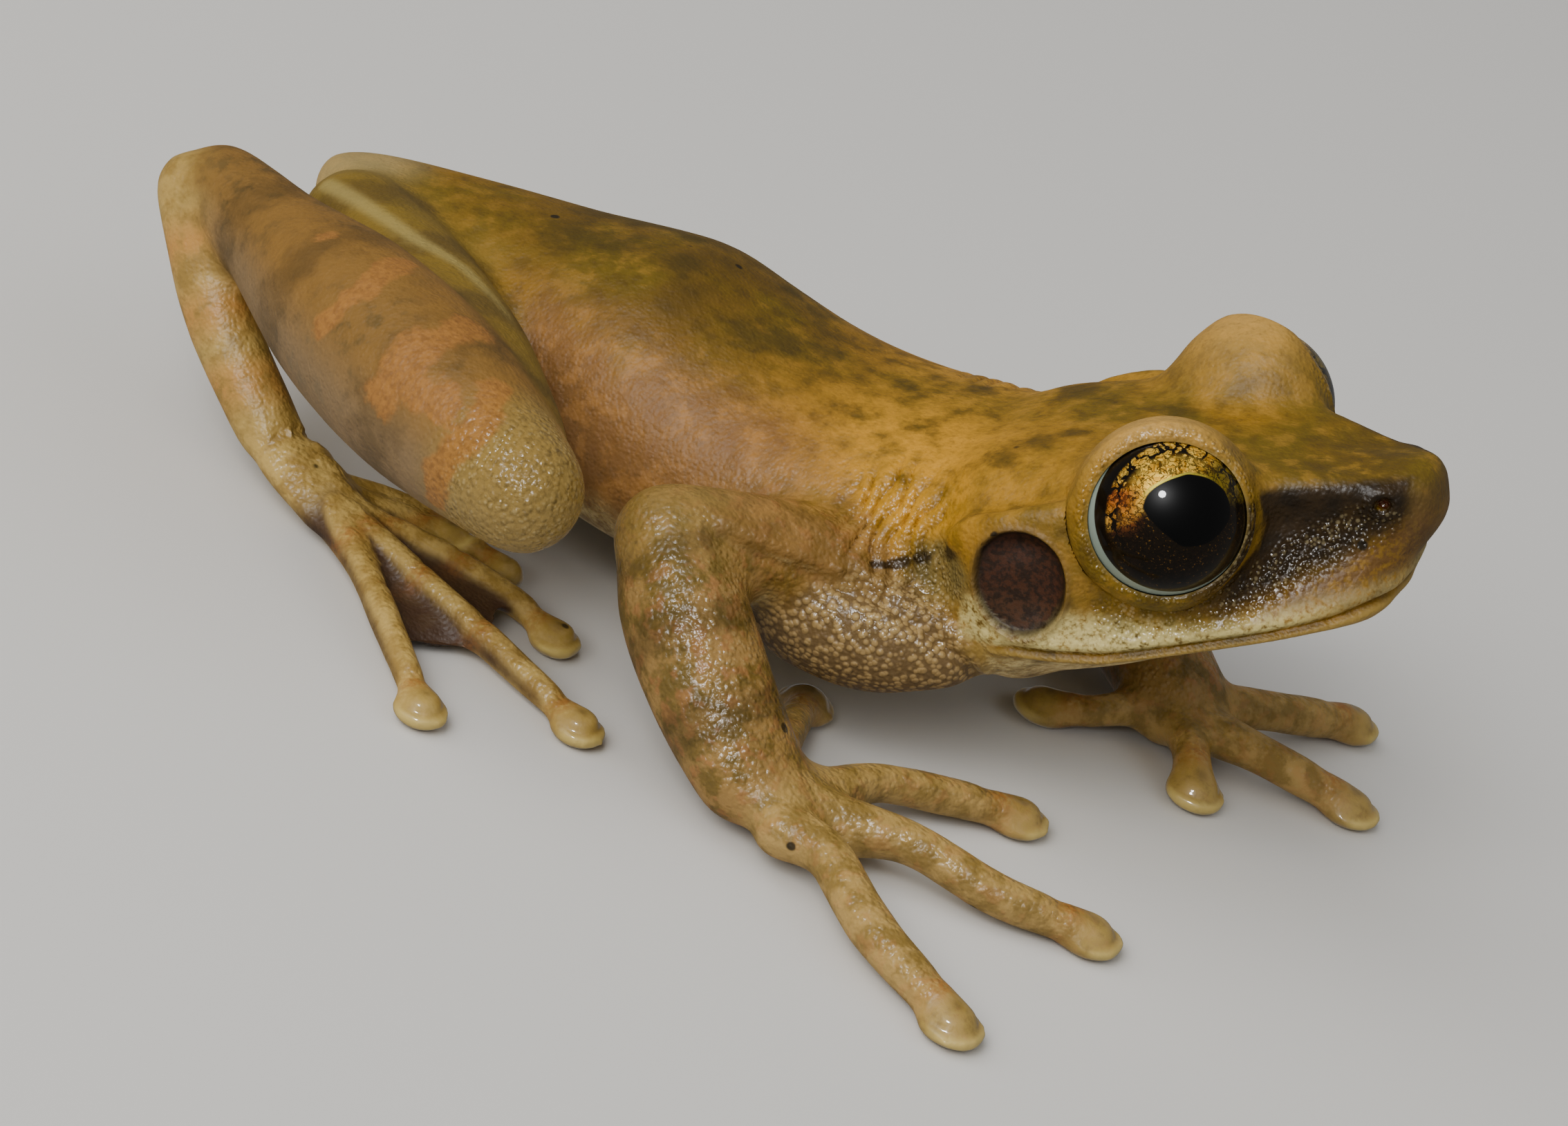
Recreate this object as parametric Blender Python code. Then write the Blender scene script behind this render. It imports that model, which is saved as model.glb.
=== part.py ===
"""Life-size still model of a slender-legged tree frog, Osteocephalus leprieurii.

The frog crouches on its hands and feet with its head raised. Sizes and places are in
millimetres, with the snout towards +X, the frog's left towards +Y and the floor at zero.
The finished solids are moved so that the origin is under the middle of the whole frog.
"""
import math

import bmesh
import bpy
import numpy as np
from mathutils import Matrix, Vector

MM = 0.001
GAP = 0.3

# Head: place of the snout tip, how the head is turned, and the main sizes
SNOUT = Vector((25.2, -0.9, 17.0))
HEAD_YAW, HEAD_PITCH, HEAD_ROLL = 3.2, 20.4, 3.0
EYE_RADIUS = 3.0
EYE_CENTRE = (-8.9, 5.6, 1.15)
EYE_AIM = (0.34, 0.92, 0.22)
EYE_COVER = 0.52
LID_PLANE, LID_SPACE, LID_RADIUS = 1.0, 0.18, 0.36
RIM_STEPS = 24
TYMPANUM_CENTRE = (-13.9, 7.6, -1.4)
TYMPANUM_RADII = (1.75, 2.1)
EAR_DEPTH, EAR_RIM_RADIUS = 0.25, 0.3
NOSTRIL_CENTRE = (-1.85, 2.0, 0.95)
NOSTRIL_RADIUS = 0.27
MOUTH_HEIGHT = 0.32
MOUTH_DEPTH = 0.55
MOUTH_CORNER, MOUTH_FRONT = -14.6, -1.25

# Round pads at the ends of the fingers and toes
DISC_RADIUS, DISC_HEIGHT = 1.26, 0.5
TOE_DISC_RADIUS, SMALL_TOE_DISC_RADIUS = 1.08, 0.8
WEB_THICKNESS = 0.5

# Voxel sizes and triangle counts of the finished pieces
HEAD_VOXEL, HEAD_TRIANGLES = 0.24, 3100
TORSO_VOXEL, TORSO_TRIANGLES = 0.36, 1380
LIMB_VOXEL = 0.26
DIGIT_VOXEL = 0.17
SAC_TRIANGLES, UPPER_ARM_TRIANGLES, FOREARM_TRIANGLES = 200, 340, 400
LEG_TRIANGLES, TARSUS_TRIANGLES = 370, 240
HAND_TRIANGLES, FOOT_TRIANGLES = 1060, 1100

# Joints of the right limbs, where the frog is raised as seen from its right
RIGHT = {
    "shoulder": (7.6, -6.2, 6.4), "elbow": (0.9, -12.5, 7.2), "wrist": (8.3, -15.9, 1.9),
    "hip": (-19.4, -3.2, 7.9), "knee": (-2.4, -18.7, 9.6), "heel": (-23.2, -7.7, 9.1),
    "ankle": (-16.6, -11.0, 2.1),
}
# Joints of the left limbs: the left hand reaches forward, the left leg lies low
LEFT = {
    "shoulder": (7.6, 5.6, 6.4), "elbow": (9.0, 12.0, 5.2), "wrist": (17.2, 5.4, 1.7),
    "hip": (-17.6, 3.2, 6.0), "knee": (0.4, 13.7, 2.9), "heel": (-22.6, 8.9, 2.4),
    "ankle": (-11.4, 15.6, 1.4),
}

# Swollen copies of the bodies made so far, by node name
SHELLS = {}

SKIN_TAN = (0.36, 0.19, 0.065)
SKIN_BROWN = (0.17, 0.095, 0.045)
SKIN_PALE = (0.48, 0.36, 0.24)
SKIN_YELLOW = (0.45, 0.30, 0.11)
EYE_GOLD = (0.30, 0.16, 0.03)


def head_axes():
    """The head's forward, left and up directions."""
    yaw, pitch, roll = (math.radians(a) for a in (HEAD_YAW, HEAD_PITCH, HEAD_ROLL))
    forward = Vector((math.cos(yaw) * math.cos(pitch), math.sin(yaw) * math.cos(pitch), math.sin(pitch)))
    level_left = Vector((-math.sin(yaw), math.cos(yaw), 0.0))
    level_up = forward.cross(level_left)
    left = math.cos(roll) * level_left + math.sin(roll) * level_up
    return forward, left, forward.cross(left)


FORWARD, LEFTWARD, UPWARD = head_axes()


def on_head(forward, left, up):
    """A point given from the snout tip in the head's own directions."""
    return SNOUT + forward * FORWARD + left * LEFTWARD + up * UPWARD


def head_direction(forward, left, up):
    return (forward * FORWARD + left * LEFTWARD + up * UPWARD).normalized()


def new_object(name, bm):
    """Turns a bmesh in millimetres into a named object in metres with outward faces."""
    bmesh.ops.scale(bm, vec=(MM, MM, MM), verts=bm.verts)
    bmesh.ops.recalc_face_normals(bm, faces=bm.faces)
    mesh = bpy.data.meshes.new(name)
    bm.to_mesh(mesh)
    bm.free()
    obj = bpy.data.objects.new(name, mesh)
    bpy.context.collection.objects.link(obj)
    return obj


def remove(*objects):
    for obj in objects:
        mesh = obj.data
        bpy.data.objects.remove(obj)
        bpy.data.meshes.remove(mesh)


def smooth_curve(stations, steps):
    """Catmull-Rom points through stations of any number of values each."""
    rows = [np.array(row, float) for row in stations]
    rows = [2 * rows[0] - rows[1]] + rows + [2 * rows[-1] - rows[-2]]
    out = []
    for a, b, c, d in zip(rows, rows[1:], rows[2:], rows[3:]):
        for t in np.linspace(0.0, 1.0, steps, endpoint=False):
            out.append(0.5 * (2 * b + (c - a) * t + (2 * a - 5 * b + 4 * c - d) * t ** 2
                              + (3 * b - a - 3 * c + d) * t ** 3))
    out.append(rows[-2])
    return [row.tolist() for row in out]


def skin_rings(bm, rings):
    """Closes a run of rings of equal count into one solid."""
    loops = [[bm.verts.new(point) for point in ring] for ring in rings]
    count = len(loops[0])
    for low, high in zip(loops, loops[1:]):
        for i in range(count):
            j = (i + 1) % count
            bm.faces.new((low[i], low[j], high[j], high[i]))
    bm.faces.new(list(reversed(loops[0])))
    bm.faces.new(loops[-1])


def limb(name, stations, steps=6, sides=16):
    """A round-ended limb through stations of (x, y, z, half width, half height)."""
    rows = smooth_curve(stations, steps)
    points = [Vector(row[:3]) for row in rows]
    tangents = []
    for i, point in enumerate(points):
        before = points[max(i - 1, 0)]
        after = points[min(i + 1, len(points) - 1)]
        tangents.append((after - before).normalized())
    sections = []
    for degrees in (80, 55, 28):
        rise = math.radians(degrees)
        back = min(rows[0][3], rows[0][4]) * math.sin(rise)
        sections.append((points[0] - tangents[0] * back, tangents[0], rows[0], math.cos(rise)))
    sections += [(p, t, row, 1.0) for p, t, row in zip(points, tangents, rows)]
    for degrees in (28, 55, 80):
        rise = math.radians(degrees)
        ahead = min(rows[-1][3], rows[-1][4]) * math.sin(rise)
        sections.append((points[-1] + tangents[-1] * ahead, tangents[-1], rows[-1], math.cos(rise)))
    rings = []
    for point, tangent, row, scale in sections:
        side = tangent.cross(Vector((0, 0, 1)))
        side = side.normalized() if side.length > 0.2 else Vector((0, -1, 0))
        lift = side.cross(tangent).normalized()
        ring = []
        for k in range(sides):
            angle = 2 * math.pi * k / sides
            across = row[3] * math.cos(angle) * side + row[4] * math.sin(angle) * lift
            ring.append(point + scale * across)
        rings.append(ring)
    bm = bmesh.new()
    skin_rings(bm, rings)
    return new_object(name, bm)


def ball(name, centre, radii, axes=None, segments=24, rings=16):
    """An ellipsoid, turned so that its first radius runs along the first of the axes."""
    bm = bmesh.new()
    bmesh.ops.create_uvsphere(bm, u_segments=segments, v_segments=rings, radius=1.0)
    bmesh.ops.scale(bm, vec=radii, verts=bm.verts)
    if axes:
        turn = Matrix([list(axis) for axis in axes]).transposed()
        bmesh.ops.rotate(bm, cent=(0, 0, 0), matrix=turn, verts=bm.verts)
    bmesh.ops.translate(bm, vec=Vector(centre), verts=bm.verts)
    return new_object(name, bm)


def axes_along(direction, hint=(0, 0, 1)):
    """Three directions at right angles, the first along the given one."""
    first = Vector(direction).normalized()
    second = Vector(hint).cross(first).normalized()
    return first, second, first.cross(second)


def rod(name, start, end, radii, sides=32):
    """A straight cylinder or oval rod between two points."""
    start, end = Vector(start), Vector(end)
    _, side, lift = axes_along(end - start)
    bm = bmesh.new()
    rings = []
    for point in (start, end):
        rings.append([point + radii[0] * math.cos(2 * math.pi * k / sides) * side
                      + radii[1] * math.sin(2 * math.pi * k / sides) * lift for k in range(sides)])
    skin_rings(bm, rings)
    return new_object(name, bm)


def web(name, first, second, pull, steps=8):
    """A thin sheet between two digits, its free edge drawn in by pull."""
    rows_a = [Vector(row[:3]) for row in smooth_curve(first, steps)]
    rows_b = [Vector(row[:3]) for row in smooth_curve(second, steps)]
    count = min(len(rows_a), len(rows_b))
    spots_a = [rows_a[round(i * (len(rows_a) - 1) / (count - 1))] for i in range(count)]
    spots_b = [rows_b[round(i * (len(rows_b) - 1) / (count - 1))] for i in range(count)]
    across = 8
    back = ((spots_a[0] + spots_b[0]) - (spots_a[-1] + spots_b[-1])).normalized()
    sheets = []
    for lift in (WEB_THICKNESS / 2, -WEB_THICKNESS / 2):
        sheet = []
        for i, (a, b) in enumerate(zip(spots_a, spots_b)):
            row = []
            for k in range(across + 1):
                s = k / across
                drawn = pull * 4 * s * (1 - s) * i / (count - 1)
                row.append(a.lerp(b, s) + back * drawn + Vector((0, 0, lift)))
            sheet.append(row)
        sheets.append(sheet)
    bm = bmesh.new()
    rings = []
    for i in range(count):
        rings.append(sheets[0][i] + list(reversed(sheets[1][i])))
    skin_rings(bm, rings)
    return new_object(name, bm)


def applied(obj):
    """Replaces an object's mesh with what its modifiers make of it."""
    depsgraph = bpy.context.evaluated_depsgraph_get()
    mesh = bpy.data.meshes.new_from_object(obj.evaluated_get(depsgraph))
    old = obj.data
    obj.modifiers.clear()
    obj.data = mesh
    bpy.data.meshes.remove(old)
    return obj


def joined(name, pieces):
    """One object that holds the meshes of several pieces."""
    bm = bmesh.new()
    for piece in pieces:
        bm.from_mesh(piece.data)
    remove(*pieces)
    mesh = bpy.data.meshes.new(name)
    bm.to_mesh(mesh)
    bm.free()
    obj = bpy.data.objects.new(name, mesh)
    bpy.context.collection.objects.link(obj)
    return obj


def fused(name, pieces, voxel, triangles, smoothing=4):
    """Melts overlapping pieces into one smooth closed body of a given triangle count."""
    obj = joined(name, pieces)
    remesh = obj.modifiers.new("melt", "REMESH")
    remesh.mode = "VOXEL"
    remesh.voxel_size = voxel * MM
    soften = obj.modifiers.new("soften", "SMOOTH")
    soften.factor = 0.5
    soften.iterations = smoothing
    applied(obj)
    obj.data.calc_loop_triangles()
    thin = obj.modifiers.new("thin", "DECIMATE")
    thin.ratio = min(1.0, triangles / len(obj.data.loop_triangles))
    thin.use_collapse_triangulate = True
    applied(obj)
    return largest_body(obj)


def largest_body(obj):
    """Keeps only the largest closed surface of an object."""
    bm = bmesh.new()
    bm.from_mesh(obj.data)
    unseen = set(bm.faces)
    bodies = []
    while unseen:
        stack = [unseen.pop()]
        body = list(stack)
        while stack:
            for edge in stack.pop().edges:
                for face in edge.link_faces:
                    if face in unseen:
                        unseen.discard(face)
                        stack.append(face)
                        body.append(face)
        bodies.append(body)
    bodies.sort(key=lambda faces: sum(face.calc_area() for face in faces))
    spare = [face for faces in bodies[:-1] for face in faces]
    bmesh.ops.delete(bm, geom=spare, context="FACES")
    bm.to_mesh(obj.data)
    bm.free()
    return obj


def keep_shell(obj):
    """Keeps a copy of a body, swollen by the gap, for cutting its neighbours clear of it."""
    shell = bpy.data.objects.new(obj.name + "_shell", obj.data.copy())
    bpy.context.collection.objects.link(shell)
    swell = shell.modifiers.new("swell", "DISPLACE")
    swell.strength = GAP * MM
    swell.mid_level = 0.0
    SHELLS[obj.name] = applied(shell)


def volume(mesh):
    bm = bmesh.new()
    bm.from_mesh(mesh)
    amount = bm.calc_volume()
    bm.free()
    return amount


def cut(obj, cutters):
    """Takes cutters out of an object one by one, checking each cut by volume."""
    for cutter in cutters:
        whole = obj.data.copy()
        before = volume(whole)
        for solver in ("EXACT", "MANIFOLD"):
            hole = obj.modifiers.new("cut", "BOOLEAN")
            hole.operation = "DIFFERENCE"
            hole.solver = solver
            hole.object = cutter
            applied(obj)
            after = volume(obj.data)
            if max(before - volume(cutter.data), before * 0.05) * 0.99 < after < before * 1.001:
                break
            obj.data = whole.copy()
        bpy.data.meshes.remove(whole)
    return largest_body(obj)


def clear_of(obj, neighbours):
    """Keeps a body's shell, then cuts the body back from the neighbours made before it."""
    keep_shell(obj)
    return cut(obj, [SHELLS[name] for name in neighbours])


def painted(obj, colour, roughness=0.45):
    material = bpy.data.materials.new(obj.name)
    material.use_nodes = True
    shader = material.node_tree.nodes["Principled BSDF"]
    shader.inputs["Base Color"].default_value = (*colour, 1.0)
    shader.inputs["Roughness"].default_value = roughness
    shader.inputs["Metallic"].default_value = 0.0
    obj.data.materials.clear()
    obj.data.materials.append(material)
    for polygon in obj.data.polygons:
        polygon.material_index = 0
    obj.data.shade_smooth()
    return obj


def torso_ring(x, top, bottom, half_width, middle, y=0.0, sides=32):
    """An egg-shaped section across the body."""
    ring = []
    for k in range(sides):
        angle = 2 * math.pi * k / sides
        c, s = math.cos(angle), math.sin(angle)
        side = half_width * math.copysign(abs(c) ** 0.86, c)
        reach = top - middle if s > 0 else middle - bottom
        ring.append(Vector((x, y + side, middle + reach * math.copysign(abs(s) ** 0.92, s))))
    return ring


def build_torso():
    """The trunk from the vent to the shoulders, with the sacral hump."""
    # place along the body, top, bottom, half width, height of the widest level
    stations = [
        (-23.2, 8.6, 7.3, 0.6, 7.9),
        (-22.5, 9.1, 6.4, 1.4, 7.6),
        (-20.8, 9.6, 4.9, 2.6, 7.2),
        (-18.2, 10.0, 3.4, 4.0, 6.6),
        (-15.2, 10.5, 2.3, 5.2, 6.0),
        (-11.5, 11.1, 1.6, 6.3, 5.6),
        (-8.4, 11.8, 1.3, 7.1, 5.4),
        (-6.0, 12.1, 1.2, 7.6, 5.4),
        (-3.4, 11.5, 1.2, 8.0, 5.3),
        (0.0, 11.0, 1.4, 8.1, 5.4),
        (3.5, 11.3, 2.0, 8.0, 6.0),
        (7.0, 12.2, 3.1, 7.6, 6.9),
        (9.6, 13.1, 4.6, 7.0, 8.2),
        (11.8, 12.8, 6.6, 5.6, 9.6),
    ]
    rows = smooth_curve(stations, 4)
    bm = bmesh.new()
    skin_rings(bm, [torso_ring(*row, y=-0.06 * max(row[0], 0.0)) for row in rows])
    torso = fused("torso", [new_object("trunk", bm)], TORSO_VOXEL, TORSO_TRIANGLES)
    return clear_of(torso, ["head"])


# place back from the snout tip; top; brow edge; cheek; lip; jaw edge; throat, each as (out, up)
HEAD_SECTIONS = [
    (0.00, 0.9, (0.5, 0.75), (0.7, 0.1), (0.6, -0.5), (0.35, -0.8), -0.9),
    (-0.45, 1.85, (1.35, 1.65), (1.6, 0.4), (1.6, -1.2), (1.1, -1.7), -1.9),
    (-1.2, 2.1, (1.85, 1.85), (2.1, 0.3), (2.6, -2.35), (2.2, -3.1), -3.4),
    (-3.0, 2.15, (2.45, 1.9), (2.9, -0.3), (4.2, -2.8), (3.9, -3.7), -4.3),
    (-5.0, 2.2, (3.1, 1.9), (3.7, -0.6), (5.3, -3.05), (5.0, -3.95), -5.0),
    (-8.0, 2.3, (4.6, 1.9), (5.3, -0.8), (6.5, -3.4), (6.2, -4.3), -5.9),
    (-11.0, 2.35, (5.6, 1.8), (6.7, -0.9), (7.3, -3.9), (6.9, -4.9), -6.8),
    (-14.0, 2.2, (5.8, 1.5), (7.5, -1.0), (7.7, -4.0), (6.8, -5.5), -7.4),
    (-16.2, 1.9, (5.3, 1.2), (7.0, -1.2), (7.0, -4.2), (5.9, -5.7), -7.4),
    (-18.2, 1.3, (3.9, 0.6), (5.2, -1.6), (5.2, -4.0), (4.2, -5.2), -6.4),
]


def head_ring(section):
    """A closed section of the head through its named edges, alike on both sides."""
    back, top, brow, cheek, lip, jaw, throat = section
    half = [(0.0, top), (brow[0] * 0.62, top - 0.05), brow, cheek, lip, jaw,
            (jaw[0] * 0.6, throat + 0.35)]
    outline = half + [(0.0, throat)] + [(-out, up) for out, up in reversed(half[1:])]
    closed = outline[-2:] + outline + outline[:3]
    points = smooth_curve(closed, 4)
    points = points[2 * 4:2 * 4 + 4 * len(outline)]
    return [on_head(back, -p[0], p[1]) for p in points]


def lip_line(back):
    """How far out and how high the mouth line lies at a place back from the snout tip."""
    places = [section[0] for section in HEAD_SECTIONS][::-1]
    outs = [section[4][0] for section in HEAD_SECTIONS][::-1]
    ups = [section[4][1] for section in HEAD_SECTIONS][::-1]
    return float(np.interp(back, places, outs)), float(np.interp(back, places, ups))


def mouth_cutter():
    """A thin ribbon that follows the lips from one jaw corner round to the other."""
    side = []
    for back in np.linspace(MOUTH_CORNER, MOUTH_FRONT - 0.9, 14):
        out, up = lip_line(back)
        side.append((back, out, up - 0.05))
    front_up = -2.6
    front = [(MOUTH_FRONT - 0.25, 1.9, front_up), (MOUTH_FRONT + 0.05, 0.9, front_up),
             (MOUTH_FRONT + 0.15, 0.0, front_up)]
    half = side + front
    path = [(b, -o, u) for b, o, u in half] + [(b, o, u) for b, o, u in reversed(half[:-1])]
    rings = []
    for i, (back, out, up) in enumerate(path):
        ahead = path[min(i + 1, len(path) - 1)]
        behind = path[max(i - 1, 0)]
        along = Vector((ahead[0] - behind[0], ahead[1] - behind[1], 0)).normalized()
        outward = Vector((-along.y, along.x, 0))
        ring = []
        for reach, lift in ((1.6, 1), (-MOUTH_DEPTH, 0.6), (-MOUTH_DEPTH, -0.6), (1.6, -1)):
            spot = Vector((back, out, up)) + outward * reach
            ring.append(on_head(spot.x, spot.y, spot.z + lift * MOUTH_HEIGHT / 2))
        rings.append(ring)
    bm = bmesh.new()
    skin_rings(bm, rings)
    return new_object("mouth_cutter", bm)


def eye_place(sign):
    """Centre of one eyeball and the way it looks; sign is 1 on the left and -1 on the right."""
    back, out, up = EYE_CENTRE
    return on_head(back, sign * out, up), head_direction(EYE_AIM[0], sign * EYE_AIM[1], EYE_AIM[2])


def lid_rim(sign):
    """The round fold that both lids make about the eye."""
    centre, aim = eye_place(sign)
    _, side, lift = axes_along(aim)
    path = []
    for k in range(RIM_STEPS + 1):
        turn = 2 * math.pi * k / RIM_STEPS
        around = math.cos(turn) * side + math.sin(turn) * lift
        spot = centre + aim * LID_PLANE + (EYE_RADIUS + LID_SPACE) * around
        path.append((*spot, LID_RADIUS, LID_RADIUS))
    return limb("lid_rim", path, steps=2, sides=8)


def ear_rim(sign):
    """The thin raised ring about the ear disc."""
    back, out, up = TYMPANUM_CENTRE
    path = []
    for k in range(RIM_STEPS + 1):
        turn = 2 * math.pi * k / RIM_STEPS
        along = back + (TYMPANUM_RADII[0] + EAR_RIM_RADIUS / 2) * math.cos(turn)
        height = up + (TYMPANUM_RADII[1] + EAR_RIM_RADIUS / 2) * math.sin(turn)
        path.append((*on_head(along, sign * (out - EAR_DEPTH), height), EAR_RIM_RADIUS, EAR_RIM_RADIUS))
    return limb("ear_rim", path, steps=2, sides=8)


def head_side_pieces(sign):
    """Eye bump, brow, snout edge, nose, and the folds about the ear and the eye on one side."""
    centre, _ = eye_place(sign)
    back, out, up = EYE_CENTRE
    head_turn = (FORWARD, LEFTWARD, UPWARD)
    # each row holds the place, distance out, height and radius of a point on the fold
    edge_rows = ((-5.8, 3.3, 1.5, 0.75), (-3.6, 2.55, 1.5, 0.65), (-1.6, 1.85, 1.45, 0.5))
    edge = [(*on_head(row[0], sign * row[1], row[2]), row[3], row[3]) for row in edge_rows]
    fold_rows = ((-11.2, 6.6, 0.9, 0.5), (-13.2, 6.95, 1.2, 0.55),
                 (-15.4, 7.0, 0.6, 0.6), (-16.8, 6.7, -0.4, 0.5))
    fold = [(*on_head(row[0], sign * row[1], row[2]), row[3], row[3]) for row in fold_rows]
    return [
        ball("bump", centre, (EYE_RADIUS + EYE_COVER,) * 3),
        ball("brow", on_head(back - 0.4, sign * (out - 1.0), up - 0.2), (3.6, 3.0, 2.8), head_turn),
        limb("snout_edge", edge),
        ball("nose", on_head(-1.7, sign * 1.75, 0.95), (0.75, 0.5, 0.6), head_turn),
        ear_rim(sign),
        limb("ear_fold", fold),
        lid_rim(sign),
    ]


def head_side_cutters(sign):
    """The eye socket, the opening of the lids, the nostril and the sunk ear disc on one side."""
    centre, aim = eye_place(sign)
    lid_edge = centre + aim * (LID_PLANE + LID_RADIUS)
    back, out, up = NOSTRIL_CENTRE
    pit = on_head(back, sign * (out + 0.55), up + 0.1)
    inner = on_head(back - 0.1, sign * (out - 0.55), up - 0.25)
    ear_back, ear_out, ear_up = TYMPANUM_CENTRE
    ear_floor = on_head(ear_back, sign * (ear_out - EAR_DEPTH), ear_up)
    outside = on_head(ear_back + 0.25, sign * (ear_out + 1.6), ear_up + 0.1)
    return [
        ball("socket", centre, (EYE_RADIUS + GAP,) * 3, axes_along(aim), 22, 14),
        rod("lid_opening", lid_edge, lid_edge + aim * 4.0, (5.0, 5.0)),
        rod("nostril", pit, inner, (NOSTRIL_RADIUS, NOSTRIL_RADIUS * 1.2), 10),
        rod("ear_disc", ear_floor, outside, TYMPANUM_RADII, 24),
    ]


def build_head():
    """The head with eye bumps, lids, nostrils, mouth line and ear discs."""
    flat = [[c for point in head_ring(section) for c in point] for section in HEAD_SECTIONS]
    rings = []
    for row in smooth_curve(flat, 4):
        rings.append([Vector(row[i:i + 3]) for i in range(0, len(row), 3)])
    bm = bmesh.new()
    skin_rings(bm, rings)
    pieces = [new_object("skull", bm)] + head_side_pieces(-1) + head_side_pieces(1)
    head = fused("head", pieces, HEAD_VOXEL, HEAD_TRIANGLES, smoothing=2)
    cutters = head_side_cutters(-1) + head_side_cutters(1) + [mouth_cutter()]
    keep_shell(head)
    cut(head, cutters)
    remove(*cutters)
    return head


def build_eye(name, sign):
    centre, aim = eye_place(sign)
    turned = axes_along(aim)
    upright = (turned[1], turned[2], turned[0])
    return ball(name, centre, (EYE_RADIUS,) * 3, upright, 18, 12)


def build_throat_sac(name, sign, neighbours):
    """The loose granular vocal sac that hangs behind each jaw corner."""
    left_stations = [(3.0, 8.2, 5.2, 1.6, 1.6), (5.6, 8.6, 5.2, 2.1, 2.3),
                     (8.6, 8.4, 5.4, 2.1, 2.3), (11.2, 7.8, 5.9, 1.5, 1.6)]
    stations = [(x, sign * y, z, w, h) for x, y, z, w, h in left_stations]
    sac = fused(name, [limb("sac", stations)], LIMB_VOXEL, SAC_TRIANGLES)
    return clear_of(sac, neighbours)


def build_upper_arm(name, joints, neighbours):
    start, end = Vector(joints["shoulder"]), Vector(joints["elbow"])
    middle = start.lerp(end, 0.5) + Vector((0, 0, 0.3))
    stations = [(*start, 2.2, 2.2), (*middle, 2.0, 2.1), (*end, 2.05, 2.1)]
    arm = fused(name, [limb("arm", stations)], LIMB_VOXEL, UPPER_ARM_TRIANGLES)
    return clear_of(arm, neighbours)


def build_forearm(name, joints, neighbours):
    start, end = Vector(joints["elbow"]), Vector(joints["wrist"])
    outward = Vector((-0.25, -0.25, 0.0))
    stations = [(*start, 2.1, 2.2), (*(start.lerp(end, 0.35) + outward), 2.45, 2.4),
                (*(start.lerp(end, 0.7) + outward), 2.4, 2.2), (*end, 2.35, 1.75)]
    arm = fused(name, [limb("forearm", stations)], LIMB_VOXEL, FOREARM_TRIANGLES)
    return clear_of(arm, neighbours)


def digit(path, radius, disc=DISC_RADIUS):
    """One finger or toe: a slim tube with small knuckles that ends in a flat round disc."""
    rows = []
    last = len(path) - 1
    for i, point in enumerate(path):
        width = radius * (1.25 if i == 0 else 1.0)
        if i == last:
            width = radius * 0.85
        rows.append((*point, width, width * 0.92))
    tip, before = Vector(path[-1]), Vector(path[-2])
    along = tip - before
    along.z = 0
    axes = axes_along(along)
    pad = ball("disc", (tip.x, tip.y, DISC_HEIGHT), (disc * 1.06, disc, DISC_HEIGHT + 0.12), axes, 20, 12)
    top = (tip.x, tip.y, DISC_HEIGHT + 0.25)
    bead = ball("pad_top", top, (disc * 0.72, disc * 0.68, 0.5), axes, 16, 10)
    return [limb("digit", rows, sides=12), pad, bead]


def cut_at_floor(obj):
    """Flattens what reaches the floor to one level."""
    size = 60.0
    bm = bmesh.new()
    bmesh.ops.create_cube(bm, size=size)
    bmesh.ops.translate(bm, vec=(0, 0, -size / 2), verts=bm.verts)
    cutter = new_object("floor_cutter", bm)
    cut(obj, [cutter])
    remove(cutter)
    return obj


# paths of the fingers from the palm to the disc, the first finger innermost
RIGHT_FINGERS = [
    [(8.3, -13.8, 1.5), (7.6, -11.6, 1.2), (7.0, -9.4, 1.0), (6.5, -7.2, 0.7)],
    [(10.3, -13.6, 1.4), (11.4, -11.2, 1.4), (13.6, -9.1, 1.1), (15.9, -7.1, 0.7)],
    [(11.6, -15.0, 1.5), (14.4, -14.1, 1.6), (17.8, -13.6, 1.1), (21.2, -12.1, 0.7)],
    [(10.5, -17.4, 1.5), (12.5, -17.7, 1.7), (15.6, -19.8, 1.2), (19.8, -21.5, 0.7)],
]
LEFT_FINGERS = [
    [(16.4, 3.9, 1.4), (15.5, 2.7, 1.2), (14.6, 1.9, 1.0), (13.2, 1.6, 0.7)],
    [(18.0, 4.0, 1.4), (19.0, 2.9, 1.3), (19.6, 2.0, 1.0), (20.2, 1.2, 0.7)],
    [(19.0, 4.6, 1.4), (21.2, 4.8, 1.4), (23.2, 5.3, 1.1), (25.3, 5.9, 0.7)],
    [(18.3, 6.6, 1.4), (20.0, 8.2, 1.4), (21.6, 10.2, 1.1), (23.0, 12.4, 0.7)],
]


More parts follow.
